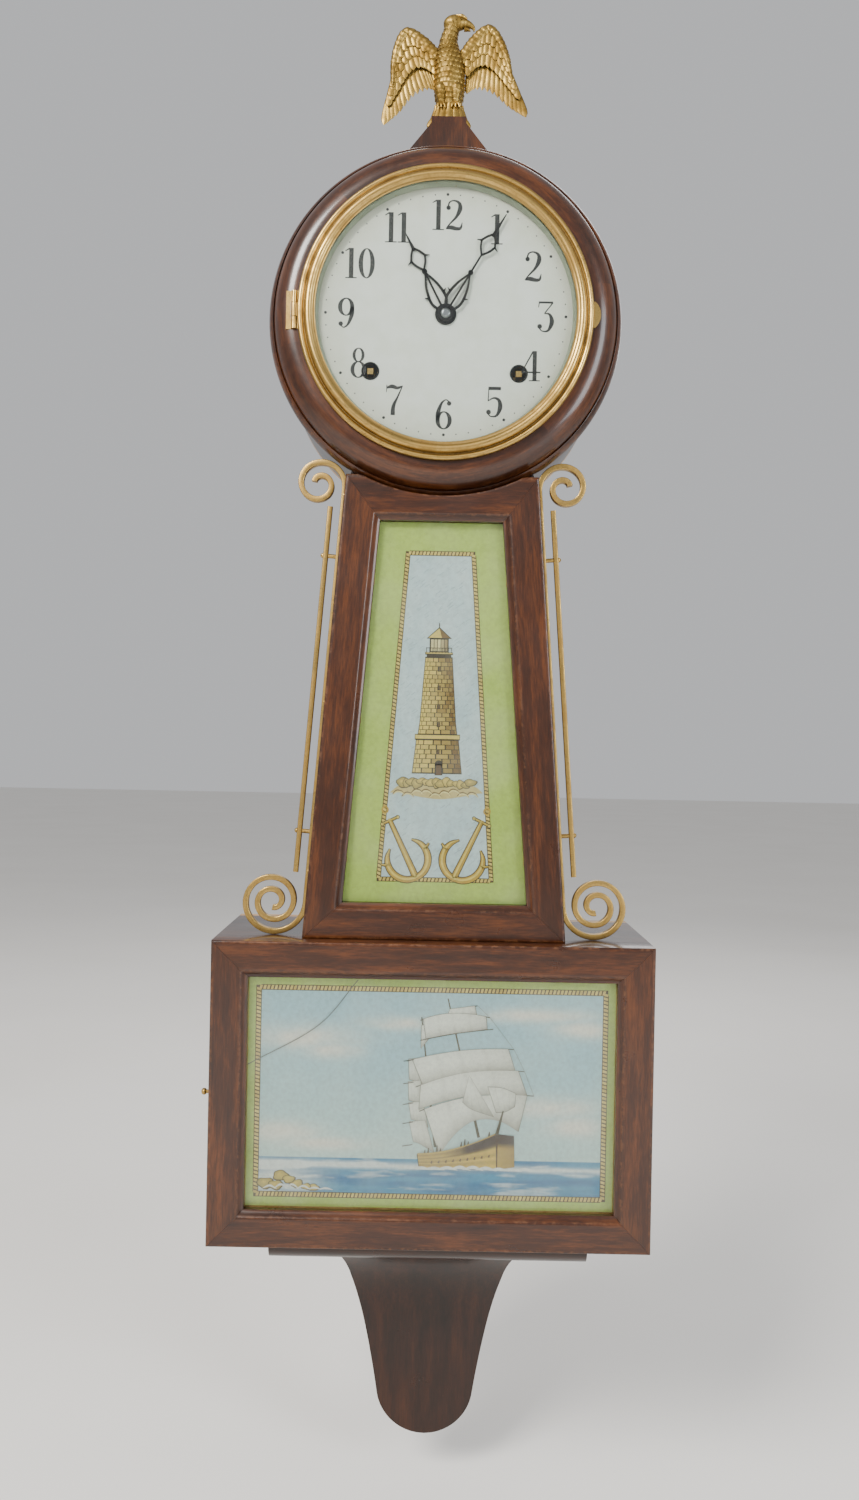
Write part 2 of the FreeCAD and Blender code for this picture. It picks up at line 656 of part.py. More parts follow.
# ==== dial and hands =============================================================================================================
def make_dial():
    dial = rod(DIAL_RADIUS, DIAL_FRONT_Y + DIAL_THICKNESS, DIAL_FRONT_Y)
    holes = [rod(5.2, -90, -110, x, -WINDING_DROP) for x in (-WINDING_X, WINDING_X)]
    return at_head(without(dial, holes + [rod(3.8, -90, -110)]))


def make_winding_grommets():
    rings = [turned([(4.2, -99.2), (5.2, -99.2), (5.2, DIAL_FRONT_Y), ((5.1, -100.7), (4.7, -100.7)),
                     (4.2, DIAL_FRONT_Y)], x, -WINDING_DROP) for x in (-WINDING_X, WINDING_X)]
    return at_head(group(rings))


def dial_posts():
    """Riveted posts that carry the dial on the front plate."""
    back, front = FRONT_PLATE_Y, DIAL_FRONT_Y + DIAL_THICKNESS
    return [rod(2.0, back, front, x, z) for x in (-50, 50) for z in (2, 44)]


def hand_blade(length, loop_at, hub, bore, y_front):
    """Pierced hand pointing up: hub, two curved arms, beaded stem, kite loop with barbs, tapered tip."""
    y_back = y_front + HAND_THICKNESS
    arms_end = 26.0
    pieces = [rod(hub, y_back, y_front)]
    for side in (-1, 1):
        bow = [(side * hub * 0.6, hub * 0.6), (side * 4.6, 0.38 * arms_end), (side * 3.4, 0.68 * arms_end),
               (side * 0.4, arms_end)]
        pieces.append(ribbon(bow, 1.5, y_back, y_front))
        barb_z = 0.45 * arms_end
        pieces.append(ribbon([(side * 4.0, barb_z), (side * 6.4, barb_z + 0.9)], 0.9, y_back, y_front))
        half = 4.6
        kite = [(0, loop_at - 7.0), (side * half, loop_at), (0, loop_at + 6.0)]
        pieces.append(ribbon(kite[:2], 1.3, y_back, y_front))
        pieces.append(ribbon(kite[1:], 1.3, y_back, y_front))
        pieces.append(ribbon([(side * half, loop_at), (side * (half + 2.2), loop_at - 1.0)], 0.9, y_back, y_front))
    pieces.append(ribbon([(0, hub * 0.5), (0, loop_at - 6.0)], 1.3, y_back, y_front))
    pieces.append(rod(1.5, y_back, y_front, 0, arms_end + 1.5))
    pieces.append(ribbon([(0, loop_at + 4.6), (0, length)], lambda t: 2.2 - 1.6 * t, y_back, y_front))
    return joined(pieces).cut(rod(bore, y_back + 1, y_front - 1))


def set_hand(shape, clockwise):
    """Turn a hand from twelve to its hour and put it on the centre arbor."""
    shape.rotate(V(0, 0, 0), V(0, 1, 0), clockwise)
    return at_head(shape)


def make_hour_hand():
    return set_hand(hand_blade(HOUR_HAND_LENGTH, 36.0, 6.2, HOUR_PIPE, HOUR_HAND_Y), HOUR_HAND_ANGLE)


def make_minute_hand():
    return set_hand(hand_blade(MINUTE_HAND_LENGTH, 47.0, 5.0, CANNON_TUBE, MINUTE_HAND_Y), MINUTE_HAND_ANGLE)


def make_hand_nut():
    nut = turned([(0.0, MINUTE_HAND_Y), (2.9, MINUTE_HAND_Y), (2.9, -103.2), ((2.4, -103.9), (1.2, -104.2)), (0.0, -104.2)])
    return at_head(nut)


# ==== wheels ===========================================================================================================================
def gear_rim(teeth, module, first):
    """Corner points of a toothed rim about the origin; one tooth points along the first angle."""
    pitch_radius = module * teeth / 2
    tip = pitch_radius + 0.8 * module
    root = pitch_radius - 1.15 * module
    half_pitch = 180.0 / teeth
    corners = []
    for i in range(teeth):
        middle = first + 2 * half_pitch * i
        corners += [polar(root, middle - 0.52 * half_pitch), polar(tip, middle - 0.20 * half_pitch),
                    polar(tip, middle + 0.20 * half_pitch), polar(root, middle + 0.52 * half_pitch)]
    return corners


def crossings(hub, rim, arms, first):
    """Openings that leave straight arms between hub and rim."""
    openings = []
    arm = 2.2
    for i in range(arms):
        start = first + 360.0 * i / arms
        end = start + 360.0 / arms
        near = math.degrees(math.asin(arm / 2 / hub))
        far = math.degrees(math.asin(arm / 2 / rim))
        middle = (start + end) / 2
        openings.append([polar(hub, start + near), (polar(hub, middle), polar(hub, end - near)),
                         polar(rim, end - far), (polar(rim, middle), polar(rim, start + far))])
    return openings


def wheel(teeth, module, first, place, y_back, thickness, arms=0, hub=5.0):
    """Toothed wheel or pinion at a place in the front view."""
    def spot(x, z):
        return V(x + place[0], y_back, z + place[1])

    outlines = [wire(gear_rim(teeth, module, first), spot)]
    if arms:
        rim = module * teeth / 2 - 1.15 * module - 2.0
        outlines += [wire(opening, spot) for opening in crossings(hub, rim, arms, first)]
    face = Part.Face(outlines[0])
    for hole in outlines[1:]:
        face = face.cut(Part.Face(hole))
    return face.Faces[0].extrude(V(0, -thickness, 0))


def bearing_of(a, b):
    """Angle of the line of centres from one arbor to another."""
    return math.degrees(math.atan2(b[1] - a[1], b[0] - a[0]))


def gap_facing(driver_place, place, teeth):
    """First-tooth angle that turns a tooth gap towards a meshing wheel's tooth."""
    return bearing_of(place, driver_place) + 180.0 / teeth


def across(a, b, from_a, from_b, side):
    """Place at given distances from two arbors, on one side of the line between them."""
    span = math.hypot(b[0] - a[0], b[1] - a[1])
    along = (from_a ** 2 - from_b ** 2 + span ** 2) / (2 * span)
    off = side * math.sqrt(from_a ** 2 - along ** 2)
    ux, uz = (b[0] - a[0]) / span, (b[1] - a[1]) / span
    return (a[0] + along * ux - off * uz, a[1] + along * uz + off * ux)


def distance_of(module, teeth_a, teeth_b):
    return module * (teeth_a + teeth_b) / 2


# Tooth counts and modules: wheel, pinion it drives, module
GREAT = (72, 12, 0.75)
SECOND = (48, 20, 0.75)
CENTRE = (72, 9, 0.55)
THIRD = (77, 7, 0.5)
PIN_WHEEL = (60, 10, 0.6)
WARNING = (56, 8, 0.5)
ESCAPE_TEETH = 30
ESCAPE_RADIUS = 13.0

CENTRE_AT = (0.0, 0.0)
GREAT_AT = (WINDING_X, -WINDING_DROP)
SECOND_AT = across(CENTRE_AT, GREAT_AT, distance_of(SECOND[2], *SECOND[:2]), distance_of(GREAT[2], *GREAT[:2]), 1)
ESCAPE_AT = (0.0, 40.5)
THIRD_AT = across(CENTRE_AT, ESCAPE_AT, distance_of(CENTRE[2], *CENTRE[:2]), distance_of(THIRD[2], *THIRD[:2]), 1)
STRIKE_AT = (-WINDING_X, -WINDING_DROP)
PIN_WHEEL_AT = (-35.0, -WINDING_DROP + math.sqrt(distance_of(GREAT[2], *GREAT[:2]) ** 2 - 64.0))
WARNING_AT = (-33.0, PIN_WHEEL_AT[1] + math.sqrt(distance_of(PIN_WHEEL[2], *PIN_WHEEL[:2]) ** 2 - 4.0))
FLY_AT = (-40.0, WARNING_AT[1] + math.sqrt(distance_of(WARNING[2], *WARNING[:2]) ** 2 - 49.0))
HAMMER_AT = (0.0, -40.0)
PILLARS_AT = [(-50.0, 57.0), (50.0, 57.0), (-10.0, -57.0), (10.0, -57.0), (52.0, 14.0)]
FEET_AT = [(-50.0, 46.0), (50.0, 46.0), (-52.0, -48.0), (52.0, -48.0)]

# Distance of each wheel's back face in front of the back plate
LAYER_GREAT = 3.0
LAYER_SECOND = 8.0
LAYER_CENTRE = 14.0
LAYER_THIRD = 20.0
LAYER_WARNING = 24.0
LAYER_ESCAPE = 28.0

CANNON_TUBE = 1.8
HOUR_PIPE = 3.0
MOTION_WHEELS = (12, 36, 10, 40)
MOTION_DISTANCE = 14.4
MINUTE_WHEEL_AT = polar(MOTION_DISTANCE, -60.0)


def layer(depth):
    return INNER_Y - depth


def arbor(place, radius=ARBOR):
    """Plain arbor between the plates with a pivot at each end."""
    shaft = rod(radius, INNER_Y - 0.4, FRONT_PLATE_Y + PLATE + 0.4, *place)
    pivots = rod(PIVOT, BACK_PLATE_Y - 0.2, FRONT_PLATE_Y + 0.2, *place)
    return joined([shaft, pivots])


def mobile(place, wheel_data, wheel_first, wheel_depth, pinion_teeth, pinion_module, pinion_first, pinion_depth,
           pinion_length, arms=5, radius=ARBOR):
    """Arbor carrying one wheel and one pinion."""
    teeth, module = wheel_data
    plate = wheel(teeth, module, wheel_first, place, layer(wheel_depth), 1.3, arms)
    pinion = wheel(pinion_teeth, pinion_module, pinion_first, place, layer(pinion_depth), pinion_length)
    return at_head(joined([plate, pinion, arbor(place, radius)]))


def make_great_wheel(place, next_place):
    """Great wheel on its winding arbor, which reaches the dial and ends in a square."""
    teeth, module = GREAT[0], GREAT[2]
    plate = wheel(teeth, module, bearing_of(place, next_place), place, layer(LAYER_GREAT), 3.0, 5, 11.0)
    x, z = place
    shaft = rod(2.5, INNER_Y - 0.4, FRONT_PLATE_Y + PLATE + 0.4, x, z)
    rear_pivot = rod(1.5, BACK_PLATE_Y - 0.2, INNER_Y - 1, x, z)
    front_pivot = rod(2.4, FRONT_PLATE_Y + 3, -90.0, x, z)
    square = block(x - 1.7, x + 1.7, -89.0, -100.0, z - 1.7, z + 1.7)
    return at_head(joined([plate, shaft, rear_pivot, front_pivot, square] + ratchet(place)))


def ratchet(place):
    """Ratchet teeth on the winding arbor and the click on the wheel's face."""
    corners = []
    for i in range(16):
        corners += [polar(8.0, 22.5 * i, *place), polar(6.4, 22.5 * i + 3.0, *place)]
    back = layer(LAYER_GREAT + 3.0)
    front = back - 1.6
    foot = polar(10.8, 100.0, *place)
    nose = polar(8.0, 62.0, *place)
    return [front_plate_of(corners, back, front), ribbon([foot, nose], 2.0, back, front), rod(1.8, back, front, *foot)]


SPRING_RADII = (5.0, 23.0)
SPRING_TURNS = 7
SPRING_BACK = 12.6        # clear of the great wheels and the lifting pins


def make_mainsprings():
    """Coiled ribbon springs round both winding arbors, each ending at its anchor post."""
    springs = []
    steps = SPRING_TURNS * 16
    for place, first, sense in ((GREAT_AT, 180.0, 1), (STRIKE_AT, 0.0, -1)):
        points = []
        for i in range(steps + 1):
            share = i / steps
            radius = SPRING_RADII[0] + (SPRING_RADII[1] - SPRING_RADII[0]) * share
            points.append(polar(radius, first + sense * 360.0 * SPRING_TURNS * share, *place))
        springs.append(ribbon(points, 0.9, layer(SPRING_BACK), layer(27.0)))
    return at_head(group(springs))


def spring_anchors():
    """Plain posts on the front plate that take the outer ends of the mainsprings."""
    reach = SPRING_RADII[1] + 0.45 + 1.6
    return [rod(1.6, layer(SPRING_BACK), FRONT_PLATE_Y + PLATE, side * (WINDING_X - reach), -WINDING_DROP)
            for side in (-1, 1)]


def escape_outline():
    """Pointed, leaning teeth of the escape wheel."""
    corners = []
    step = 360.0 / ESCAPE_TEETH
    for i in range(ESCAPE_TEETH):
        corners += [polar(ESCAPE_RADIUS, step * i, *ESCAPE_AT), polar(ESCAPE_RADIUS - 2.3, step * i + 0.35 * step, *ESCAPE_AT),
                    polar(ESCAPE_RADIUS - 2.3, step * i + 0.75 * step, *ESCAPE_AT)]
    return corners


def make_escape_wheel():
    back = layer(LAYER_ESCAPE)
    toothed = front_plate_of(escape_outline(), back, back - 1.2)
    windows = [front_plate_of([(p[0] + ESCAPE_AT[0], p[1] + ESCAPE_AT[1]) if not isinstance(p[0], tuple) else
                               tuple((q[0] + ESCAPE_AT[0], q[1] + ESCAPE_AT[1]) for q in p) for p in hole], back + 1, back - 3)
               for hole in crossings(3.5, 8.8, 4, 0.0)]
    toothed = without(toothed, windows)
    pinion = wheel(THIRD[1], THIRD[2], gap_facing(THIRD_AT, ESCAPE_AT, THIRD[1]), ESCAPE_AT, layer(18.5), 4.0)
    return at_head(joined([toothed, pinion, arbor(ESCAPE_AT, 1.0)]))


def make_third_wheel():
    return mobile(THIRD_AT, (THIRD[0], THIRD[2]), bearing_of(THIRD_AT, ESCAPE_AT), LAYER_THIRD, CENTRE[1], CENTRE[2],
                  gap_facing(CENTRE_AT, THIRD_AT, CENTRE[1]), 12.5, 4.0, radius=1.2)


def make_second_wheel():
    return mobile(SECOND_AT, (SECOND[0], SECOND[2]), bearing_of(SECOND_AT, CENTRE_AT), LAYER_SECOND, GREAT[1], GREAT[2],
                  gap_facing(GREAT_AT, SECOND_AT, GREAT[1]), 2.5, 4.4)


def make_centre_wheel():
    """Centre wheel; its arbor runs through the front plate and carries the cannon."""
    plate = wheel(CENTRE[0], CENTRE[2], bearing_of(CENTRE_AT, THIRD_AT), CENTRE_AT, layer(LAYER_CENTRE), 1.3, 5)
    pinion = wheel(SECOND[1], SECOND[2], gap_facing(SECOND_AT, CENTRE_AT, SECOND[1]), CENTRE_AT, layer(7.3), 3.0)
    front = rod(1.0, FRONT_PLATE_Y + PLATE, -101.0)
    return at_head(joined([plate, pinion, arbor(CENTRE_AT), front]))


def make_pin_wheel():
    """Second wheel of the strike, with the pins that lift the hammer tail."""
    body = mobile(PIN_WHEEL_AT, (PIN_WHEEL[0], PIN_WHEEL[2]), bearing_of(PIN_WHEEL_AT, WARNING_AT), LAYER_SECOND,
                  GREAT[1], GREAT[2], gap_facing(STRIKE_AT, PIN_WHEEL_AT, GREAT[1]), 2.5, 4.4)
    ring = at_head(bush(15.6, 13.0, layer(LAYER_SECOND), layer(LAYER_SECOND) - 1.3, *PIN_WHEEL_AT))
    pins = []
    for i in range(8):
        x, z = polar(14.3, 45.0 * i, *PIN_WHEEL_AT)
        pins.append(at_head(rod(0.6, layer(LAYER_SECOND) - 1.0, layer(LAYER_SECOND) - 3.6, x, z)))
    return joined([body, ring] + pins)


def make_warning_wheel():
    return mobile(WARNING_AT, (WARNING[0], WARNING[2]), bearing_of(WARNING_AT, FLY_AT), LAYER_WARNING, PIN_WHEEL[1],
                  PIN_WHEEL[2], gap_facing(PIN_WHEEL_AT, WARNING_AT, PIN_WHEEL[1]), 6.5, 4.5, 4, 1.2)


def make_fly():
    """Air-brake fan that steadies the strike."""
    x, z = FLY_AT
    pinion = wheel(WARNING[1], WARNING[2], gap_facing(WARNING_AT, FLY_AT, WARNING[1]), FLY_AT, layer(22.5), 4.5)
    vanes = block(x - 11.0, x + 11.0, layer(9.0), layer(19.0), z - 0.3, z + 0.3)
    return at_head(joined([pinion, arbor(FLY_AT, 1.0), vanes]))


# ==== plates and frame ======================================================================================================================
def arbor_places():
    return [SECOND_AT, THIRD_AT, ESCAPE_AT, PIN_WHEEL_AT, WARNING_AT, FLY_AT, CENTRE_AT]


def plate_outline():
    wide, top, foot = PLATE_HALF, PLATE_TOP, PLATE_FOOT
    return [(-wide, foot + 12), (-wide + 12, foot), (wide - 12, foot), (wide, foot + 12), (wide, top - 12),
            (wide - 12, top), (-wide + 12, top), (-wide, top - 12)]


def make_back_plate():
    holes = [rod(PIVOT + RUNNING, 0, -60, *place) for place in arbor_places()]
    holes += [rod(1.5 + RUNNING, 0, -60, *place) for place in (GREAT_AT, STRIKE_AT)]
    holes += [rod(1.2 + RUNNING, 0, -60, *place) for place in (HAMMER_AT, SUSPENSION)]
    plate = front_plate_of(plate_outline(), BACK_PLATE_Y, BACK_PLATE_Y - PLATE)
    return at_head(without(plate, holes))


def make_front_plate():
    holes = [rod(PIVOT + RUNNING, 0, -90, *place) for place in arbor_places()[:-1]]
    holes += [rod(2.4 + RUNNING, 0, -90, *place) for place in (GREAT_AT, STRIKE_AT)]
    holes += [rod(1.0 + RUNNING, 0, -90, *CENTRE_AT), rod(1.2 + RUNNING, 0, -90, *HAMMER_AT)]
    holes += [rod(1.2 + RUNNING, 0, -90, *SUSPENSION)]
    plate = without(front_plate_of(plate_outline(), FRONT_PLATE_Y + PLATE, FRONT_PLATE_Y), holes)
    return at_head(joined([plate] + dial_posts() + minute_stud()))


def make_pillars():
    """Turned pillars that space the plates."""
    back, front = INNER_Y, FRONT_PLATE_Y + PLATE
    pillars = []
    for x, z in PILLARS_AT:
        pillars.append(turned([(0, back), (3.4, back), (3.4, back - 3), (2.5, back - 6), (2.5, front + 6),
                               (3.4, front + 3), (3.4, front), (0, front)], x, z))
    return at_head(group(pillars + spring_anchors()))


def make_movement_feet():
    """Posts that stand the movement off the back board."""
    return at_head(group([rod(4.0, -BOARD, BACK_PLATE_Y, x, z) for x, z in FEET_AT]))


# ==== motion work =============================================================================================================================
def make_cannon():
    """Cannon pinion and its pipe, which carries the minute hand."""
    teeth = MOTION_WHEELS[0]
    pinion = wheel(teeth, 0.6, bearing_of(CENTRE_AT, MINUTE_WHEEL_AT), CENTRE_AT, -76.0, 3.0)
    pipe = rod(CANNON_TUBE, -75.0, MINUTE_HAND_Y)
    return at_head(joined([pinion, pipe]).cut(rod(1.0 + RUNNING, -70, -101.6)))


def make_minute_wheel():
    """Minute wheel and pinion on their stud."""
    plate = wheel(MOTION_WHEELS[1], 0.6, gap_facing(CENTRE_AT, MINUTE_WHEEL_AT, MOTION_WHEELS[1]), MINUTE_WHEEL_AT,
                  -76.8, 1.4)
    pinion = wheel(MOTION_WHEELS[2], 0.576, bearing_of(MINUTE_WHEEL_AT, CENTRE_AT), MINUTE_WHEEL_AT, -78.1, 6.0)
    return at_head(joined([plate, pinion]).cut(rod(1.2 + RUNNING, -70, -90, *MINUTE_WHEEL_AT)))


def minute_stud():
    """Riveted stud that the minute wheel turns on."""
    return [rod(1.2, FRONT_PLATE_Y, -85.5, *MINUTE_WHEEL_AT), rod(2.4, FRONT_PLATE_Y, -76.0, *MINUTE_WHEEL_AT)]


def make_hour_wheel():
    """Hour wheel with its pipe through the dial."""
    plate = wheel(MOTION_WHEELS[3], 0.576, gap_facing(MINUTE_WHEEL_AT, CENTRE_AT, MOTION_WHEELS[3]), CENTRE_AT,
                  -80.6, 1.6)
    pipe = rod(HOUR_PIPE, -80.6, HOUR_HAND_Y)
    return at_head(joined([plate, pipe]).cut(rod(CANNON_TUBE + RUNNING, -70, -110)))


# ==== escapement and pendulum ======================================================================================================================
def make_verge():
    """Bent pallet strip on its arbor, with the crutch behind the back plate."""
    x, z = SUSPENSION
    shaft = joined([rod(2.0, INNER_Y - 0.4, FRONT_PLATE_Y + PLATE + 0.4, x, z), rod(1.2, -28.4, FRONT_PLATE_Y + 0.2, x, z)])
    back, front = layer(LAYER_ESCAPE - 1.0), layer(LAYER_ESCAPE + 2.4)
    reach = ESCAPE_RADIUS + 2.0
    tilt = 52.0
    strip = []
    for side in (-1, 1):
        nib = polar(reach, 90.0 + side * tilt, *ESCAPE_AT)
        knee = polar(reach + 3.0, 90.0 + side * 0.55 * tilt, *ESCAPE_AT)
        strip.append(ribbon([(x, z - 1.2), knee, nib], 1.2, back, front))
    crutch_arm = ribbon([(x, z), (x, z - 34.0)], 2.0, -28.4, -29.8)
    fork = [block(side - 0.7, side + 0.7, -22.0, -29.0, z - 34.5, z - 31.5) for side in (-2.0, 2.0)]
    return at_head(joined([shaft] + strip + [crutch_arm] + fork + [block(-2.7, 2.7, -28.4, -29.8, z - 34.5, z - 31.5)]))


def make_suspension_cock():
    """Bracket on the back plate with the slit block that holds the pendulum spring."""
    x, z = SUSPENSION
    arm = block(x - 4, x + 4, PENDULUM_Y + 3, BACK_PLATE_Y, z + 3.4, z + 6.0)
    cheeks = block(x - 4, x + 4, PENDULUM_Y + 3, PENDULUM_Y - 3, z - 1.5, z + 6.0)
    slit = block(x - 0.7, x + 0.7, PENDULUM_Y + 4, PENDULUM_Y - 3.6, z - 3, z + 3.0)
    return at_head(joined([arm, cheeks]).cut(slit))


def make_pendulum_rod():
    """Thin suspension spring, rod and threaded end with the rating nut."""
    x, z = SUSPENSION
    spring = block(x - 0.2, x + 0.2, PENDULUM_Y + 2, PENDULUM_Y - 2, z - 14, z + 1.5)
    collar = rod(1.2, PENDULUM_Y + 2, PENDULUM_Y - 2, x, z - 14)
    wire_rod = upright(0.9, x, PENDULUM_Y, z - PENDULUM_LENGTH - 34, z - 14)
    nut_z = z - PENDULUM_LENGTH - BOB_RADIUS - 3.2
    rating_nut = upright(3.6, x, PENDULUM_Y, nut_z, nut_z + 3.2)
    return at_head(joined([spring, collar, wire_rod, rating_nut]))


BOB_RADIUS = 27.0
BOB_HALF = 5.0


def make_pendulum_bob():
    """Lens-shaped bob, brass shell over a weight."""
    x, z = SUSPENSION[0], SUSPENSION[1] - PENDULUM_LENGTH
    lens = turned([(0, PENDULUM_Y + BOB_HALF), ((14.5, PENDULUM_Y + 4.0), (BOB_RADIUS, PENDULUM_Y + 0.8)),
                   (BOB_RADIUS, PENDULUM_Y - 0.8), ((14.5, PENDULUM_Y - 4.0), (0, PENDULUM_Y - BOB_HALF))], x, z)
    return at_head(lens.cut(upright(0.9, x, PENDULUM_Y, z - 40, z + 40)))


# ==== strike: hammer and gong ==========================================================================================================================
GONG_AT = (0.0, -25.0)
GONG_RADIUS = 38.0
GONG_Y = (-11.5, -13.5)
HAMMER_HEAD_AT = (21.5, -62.2)


def make_hammer():
    """Hammer arbor between the plates, lifting tail, rod and head behind the back plate."""
    x, z = HAMMER_AT
    shaft = joined([rod(1.8, INNER_Y - 0.4, FRONT_PLATE_Y + PLATE + 0.4, x, z), rod(1.2, -29.0, FRONT_PLATE_Y + 0.2, x, z)])
    tail_end = polar(16.9, bearing_of(PIN_WHEEL_AT, HAMMER_AT), *PIN_WHEEL_AT)
    tail = ribbon([HAMMER_AT, tail_end], 1.8, layer(LAYER_SECOND + 2.0), layer(LAYER_SECOND + 3.4))
    arm = ribbon([HAMMER_AT, HAMMER_HEAD_AT], 1.8, -29.0, -31.0)
    head = rod(4.0, -10.0, -31.0, *HAMMER_HEAD_AT)
    return at_head(joined([shaft, tail, arm, head]))


def make_gong():
    """Coiled steel gong, flat against nothing but its hub."""
    points = []
    turns = 3.25
    steps = round(turns * 16)
    for i in range(steps + 1):
        share = i / steps
        points.append(polar(8.0 + (GONG_RADIUS - 8.0) * share, 360.0 * turns * share - 90.0, *GONG_AT))
    return at_head(ribbon(points, 2.4, *GONG_Y))


def make_gong_base():
    """Iron foot on the back board that clamps the inner end of the gong."""
    x, z = GONG_AT
    post = joined([rod(9.4, -BOARD, -11.5, x, z), rod(5.0, -BOARD, -15.5, x, z)])
    return at_head(joined([post, block(x - 2.2, x + 2.2, -11.5, -15.5, z - 9.2, z)]).cut(make_gong_flat()))


def make_gong_flat():
    gong = make_gong()
    gong.translate(V(0, 0, -HEAD_Z))
    return gong


NODES = {
    "back_board": make_back_board,
    "wall_hanger": make_wall_hanger,
    "head_drum": make_head_drum,
    "head_ring": make_head_ring,
    "finial_plinth": make_finial_plinth,
    "eagle_finial": make_eagle,
    "throat_frame": make_throat_frame,
    "throat_sides": lambda: pair(make_throat_side()),
    "throat_glass": make_throat_glass,
    "throat_glass_blocks": make_throat_glass_blocks,
    "box_top": make_box_top,
    "box_bottom": make_box_bottom,
    "box_sides": lambda: group([make_box_side(False), make_box_side(True)]),
    "bracket_shelf": make_bracket_shelf,
    "bottom_bracket": make_bottom_bracket,
    "door_frame": make_door_frame,
    "door_glass": make_door_glass,
    "door_glass_stops": make_door_glass_stops,
    "hinge_case_leaves": lambda: make_hinge_leaves(False),
    "hinge_door_leaves": lambda: make_hinge_leaves(True),
    "door_pins": lambda: group([make_door_pull_pin(), make_door_catch_peg()]),
    "door_catch_spring": make_door_catch_spring,
    "side_scrolls": lambda: pair(make_side_scroll()),
    "side_rails": lambda: pair(make_side_rail()),
    "rail_spacers": make_rail_spacers,
    "bezel": make_bezel,
    "bezel_tab": make_bezel_tab,
    "dial_glass": make_dial_glass,
    "glass_retainer": make_glass_retainer,
    "bezel_hinge_fixed": make_bezel_hinge_fixed,
    "bezel_hinge_moving": make_bezel_hinge_moving,
    "dial": make_dial,
    "winding_grommets": make_winding_grommets,
    "hour_hand": make_hour_hand,
    "minute_hand": make_minute_hand,
    "hand_nut": make_hand_nut,
    "back_plate": make_back_plate,
    "front_plate": make_front_plate,
    "pillars": make_pillars,
    "movement_feet": make_movement_feet,
    "time_great_wheel": lambda: make_great_wheel(GREAT_AT, SECOND_AT),
    "strike_great_wheel": lambda: make_great_wheel(STRIKE_AT, PIN_WHEEL_AT),
    "second_wheel": make_second_wheel,
    "centre_wheel": make_centre_wheel,
    "third_wheel": make_third_wheel,
    "escape_wheel": make_escape_wheel,
    "verge": make_verge,
    "suspension_cock": make_suspension_cock,
    "pendulum_rod": make_pendulum_rod,
    "pendulum_bob": make_pendulum_bob,
    "pin_wheel": make_pin_wheel,
    "warning_wheel": make_warning_wheel,
    "fly": make_fly,
    "mainsprings": make_mainsprings,
    "hammer": make_hammer,
    "gong": make_gong,
    "gong_base": make_gong_base,
    "cannon_pinion": make_cannon,
    "minute_wheel": make_minute_wheel,
    "hour_wheel": make_hour_wheel,
}


def main():
    os.makedirs("parts", exist_ok=True)
    for name, make in NODES.items():
        shape = make()
        print(name, len(shape.Solids), round(shape.Volume), shape.isValid())
        shape.exportStep("parts/" + name + ".step")


main()
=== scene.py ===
import json
import math

import bmesh
import bpy
import numpy as np
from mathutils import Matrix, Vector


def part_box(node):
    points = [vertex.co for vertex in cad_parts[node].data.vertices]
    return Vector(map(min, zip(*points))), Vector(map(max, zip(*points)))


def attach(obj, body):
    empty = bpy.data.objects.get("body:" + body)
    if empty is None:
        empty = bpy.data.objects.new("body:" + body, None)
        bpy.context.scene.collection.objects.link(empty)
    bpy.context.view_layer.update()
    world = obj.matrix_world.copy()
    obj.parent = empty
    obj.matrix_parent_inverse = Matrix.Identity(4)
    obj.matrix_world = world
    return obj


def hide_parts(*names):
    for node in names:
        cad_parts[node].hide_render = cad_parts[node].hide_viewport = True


# Looks of a banjo wall clock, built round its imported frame. Units are metres in the frame's axes:
# +X is the viewer's right, +Z is up, and the clock stands out from the wall towards -Y.

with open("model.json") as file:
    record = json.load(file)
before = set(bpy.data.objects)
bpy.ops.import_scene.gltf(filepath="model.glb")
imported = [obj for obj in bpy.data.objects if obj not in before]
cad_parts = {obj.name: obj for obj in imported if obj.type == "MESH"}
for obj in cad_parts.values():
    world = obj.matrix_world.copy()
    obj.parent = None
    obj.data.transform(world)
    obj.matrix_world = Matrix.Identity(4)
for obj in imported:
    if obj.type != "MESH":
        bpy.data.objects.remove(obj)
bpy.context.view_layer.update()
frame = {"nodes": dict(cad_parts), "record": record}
nodes = frame["nodes"]
MM = 0.001
TURN = 2 * math.pi
rng = np.random.default_rng(1907)


def centre_of(node):
    low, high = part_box(node)
    return (low.x + high.x) / 2, (low.z + high.z) / 2


def front_of(node):
    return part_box(node)[0].y


def back_of(node):
    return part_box(node)[1].y


HEAD_X, HEAD_Z = centre_of("head_ring")
RING_RADIUS = (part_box("head_ring")[1].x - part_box("head_ring")[0].x) / 2
THROAT_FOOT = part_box("throat_frame")[0].z
DIAL_FACE = front_of("dial")


# ==== shader maths ================================================================================
class Line:
    """A shader socket; arithmetic on it adds Math nodes."""

    def __init__(self, look, socket):
        self.look = look
        self.socket = socket

    def maths(self, operation, *values):
        return self.look.node("ShaderNodeMath", {"operation": operation}, dict(enumerate(values)))

    def __add__(self, other):
        return self.maths("ADD", self, other)

    def __sub__(self, other):
        return self.maths("SUBTRACT", self, other)

    def __rsub__(self, other):
        return self.maths("SUBTRACT", other, self)

    def __mul__(self, other):
        return self.maths("MULTIPLY", self, other)

    __radd__ = __add__
    __rmul__ = __mul__


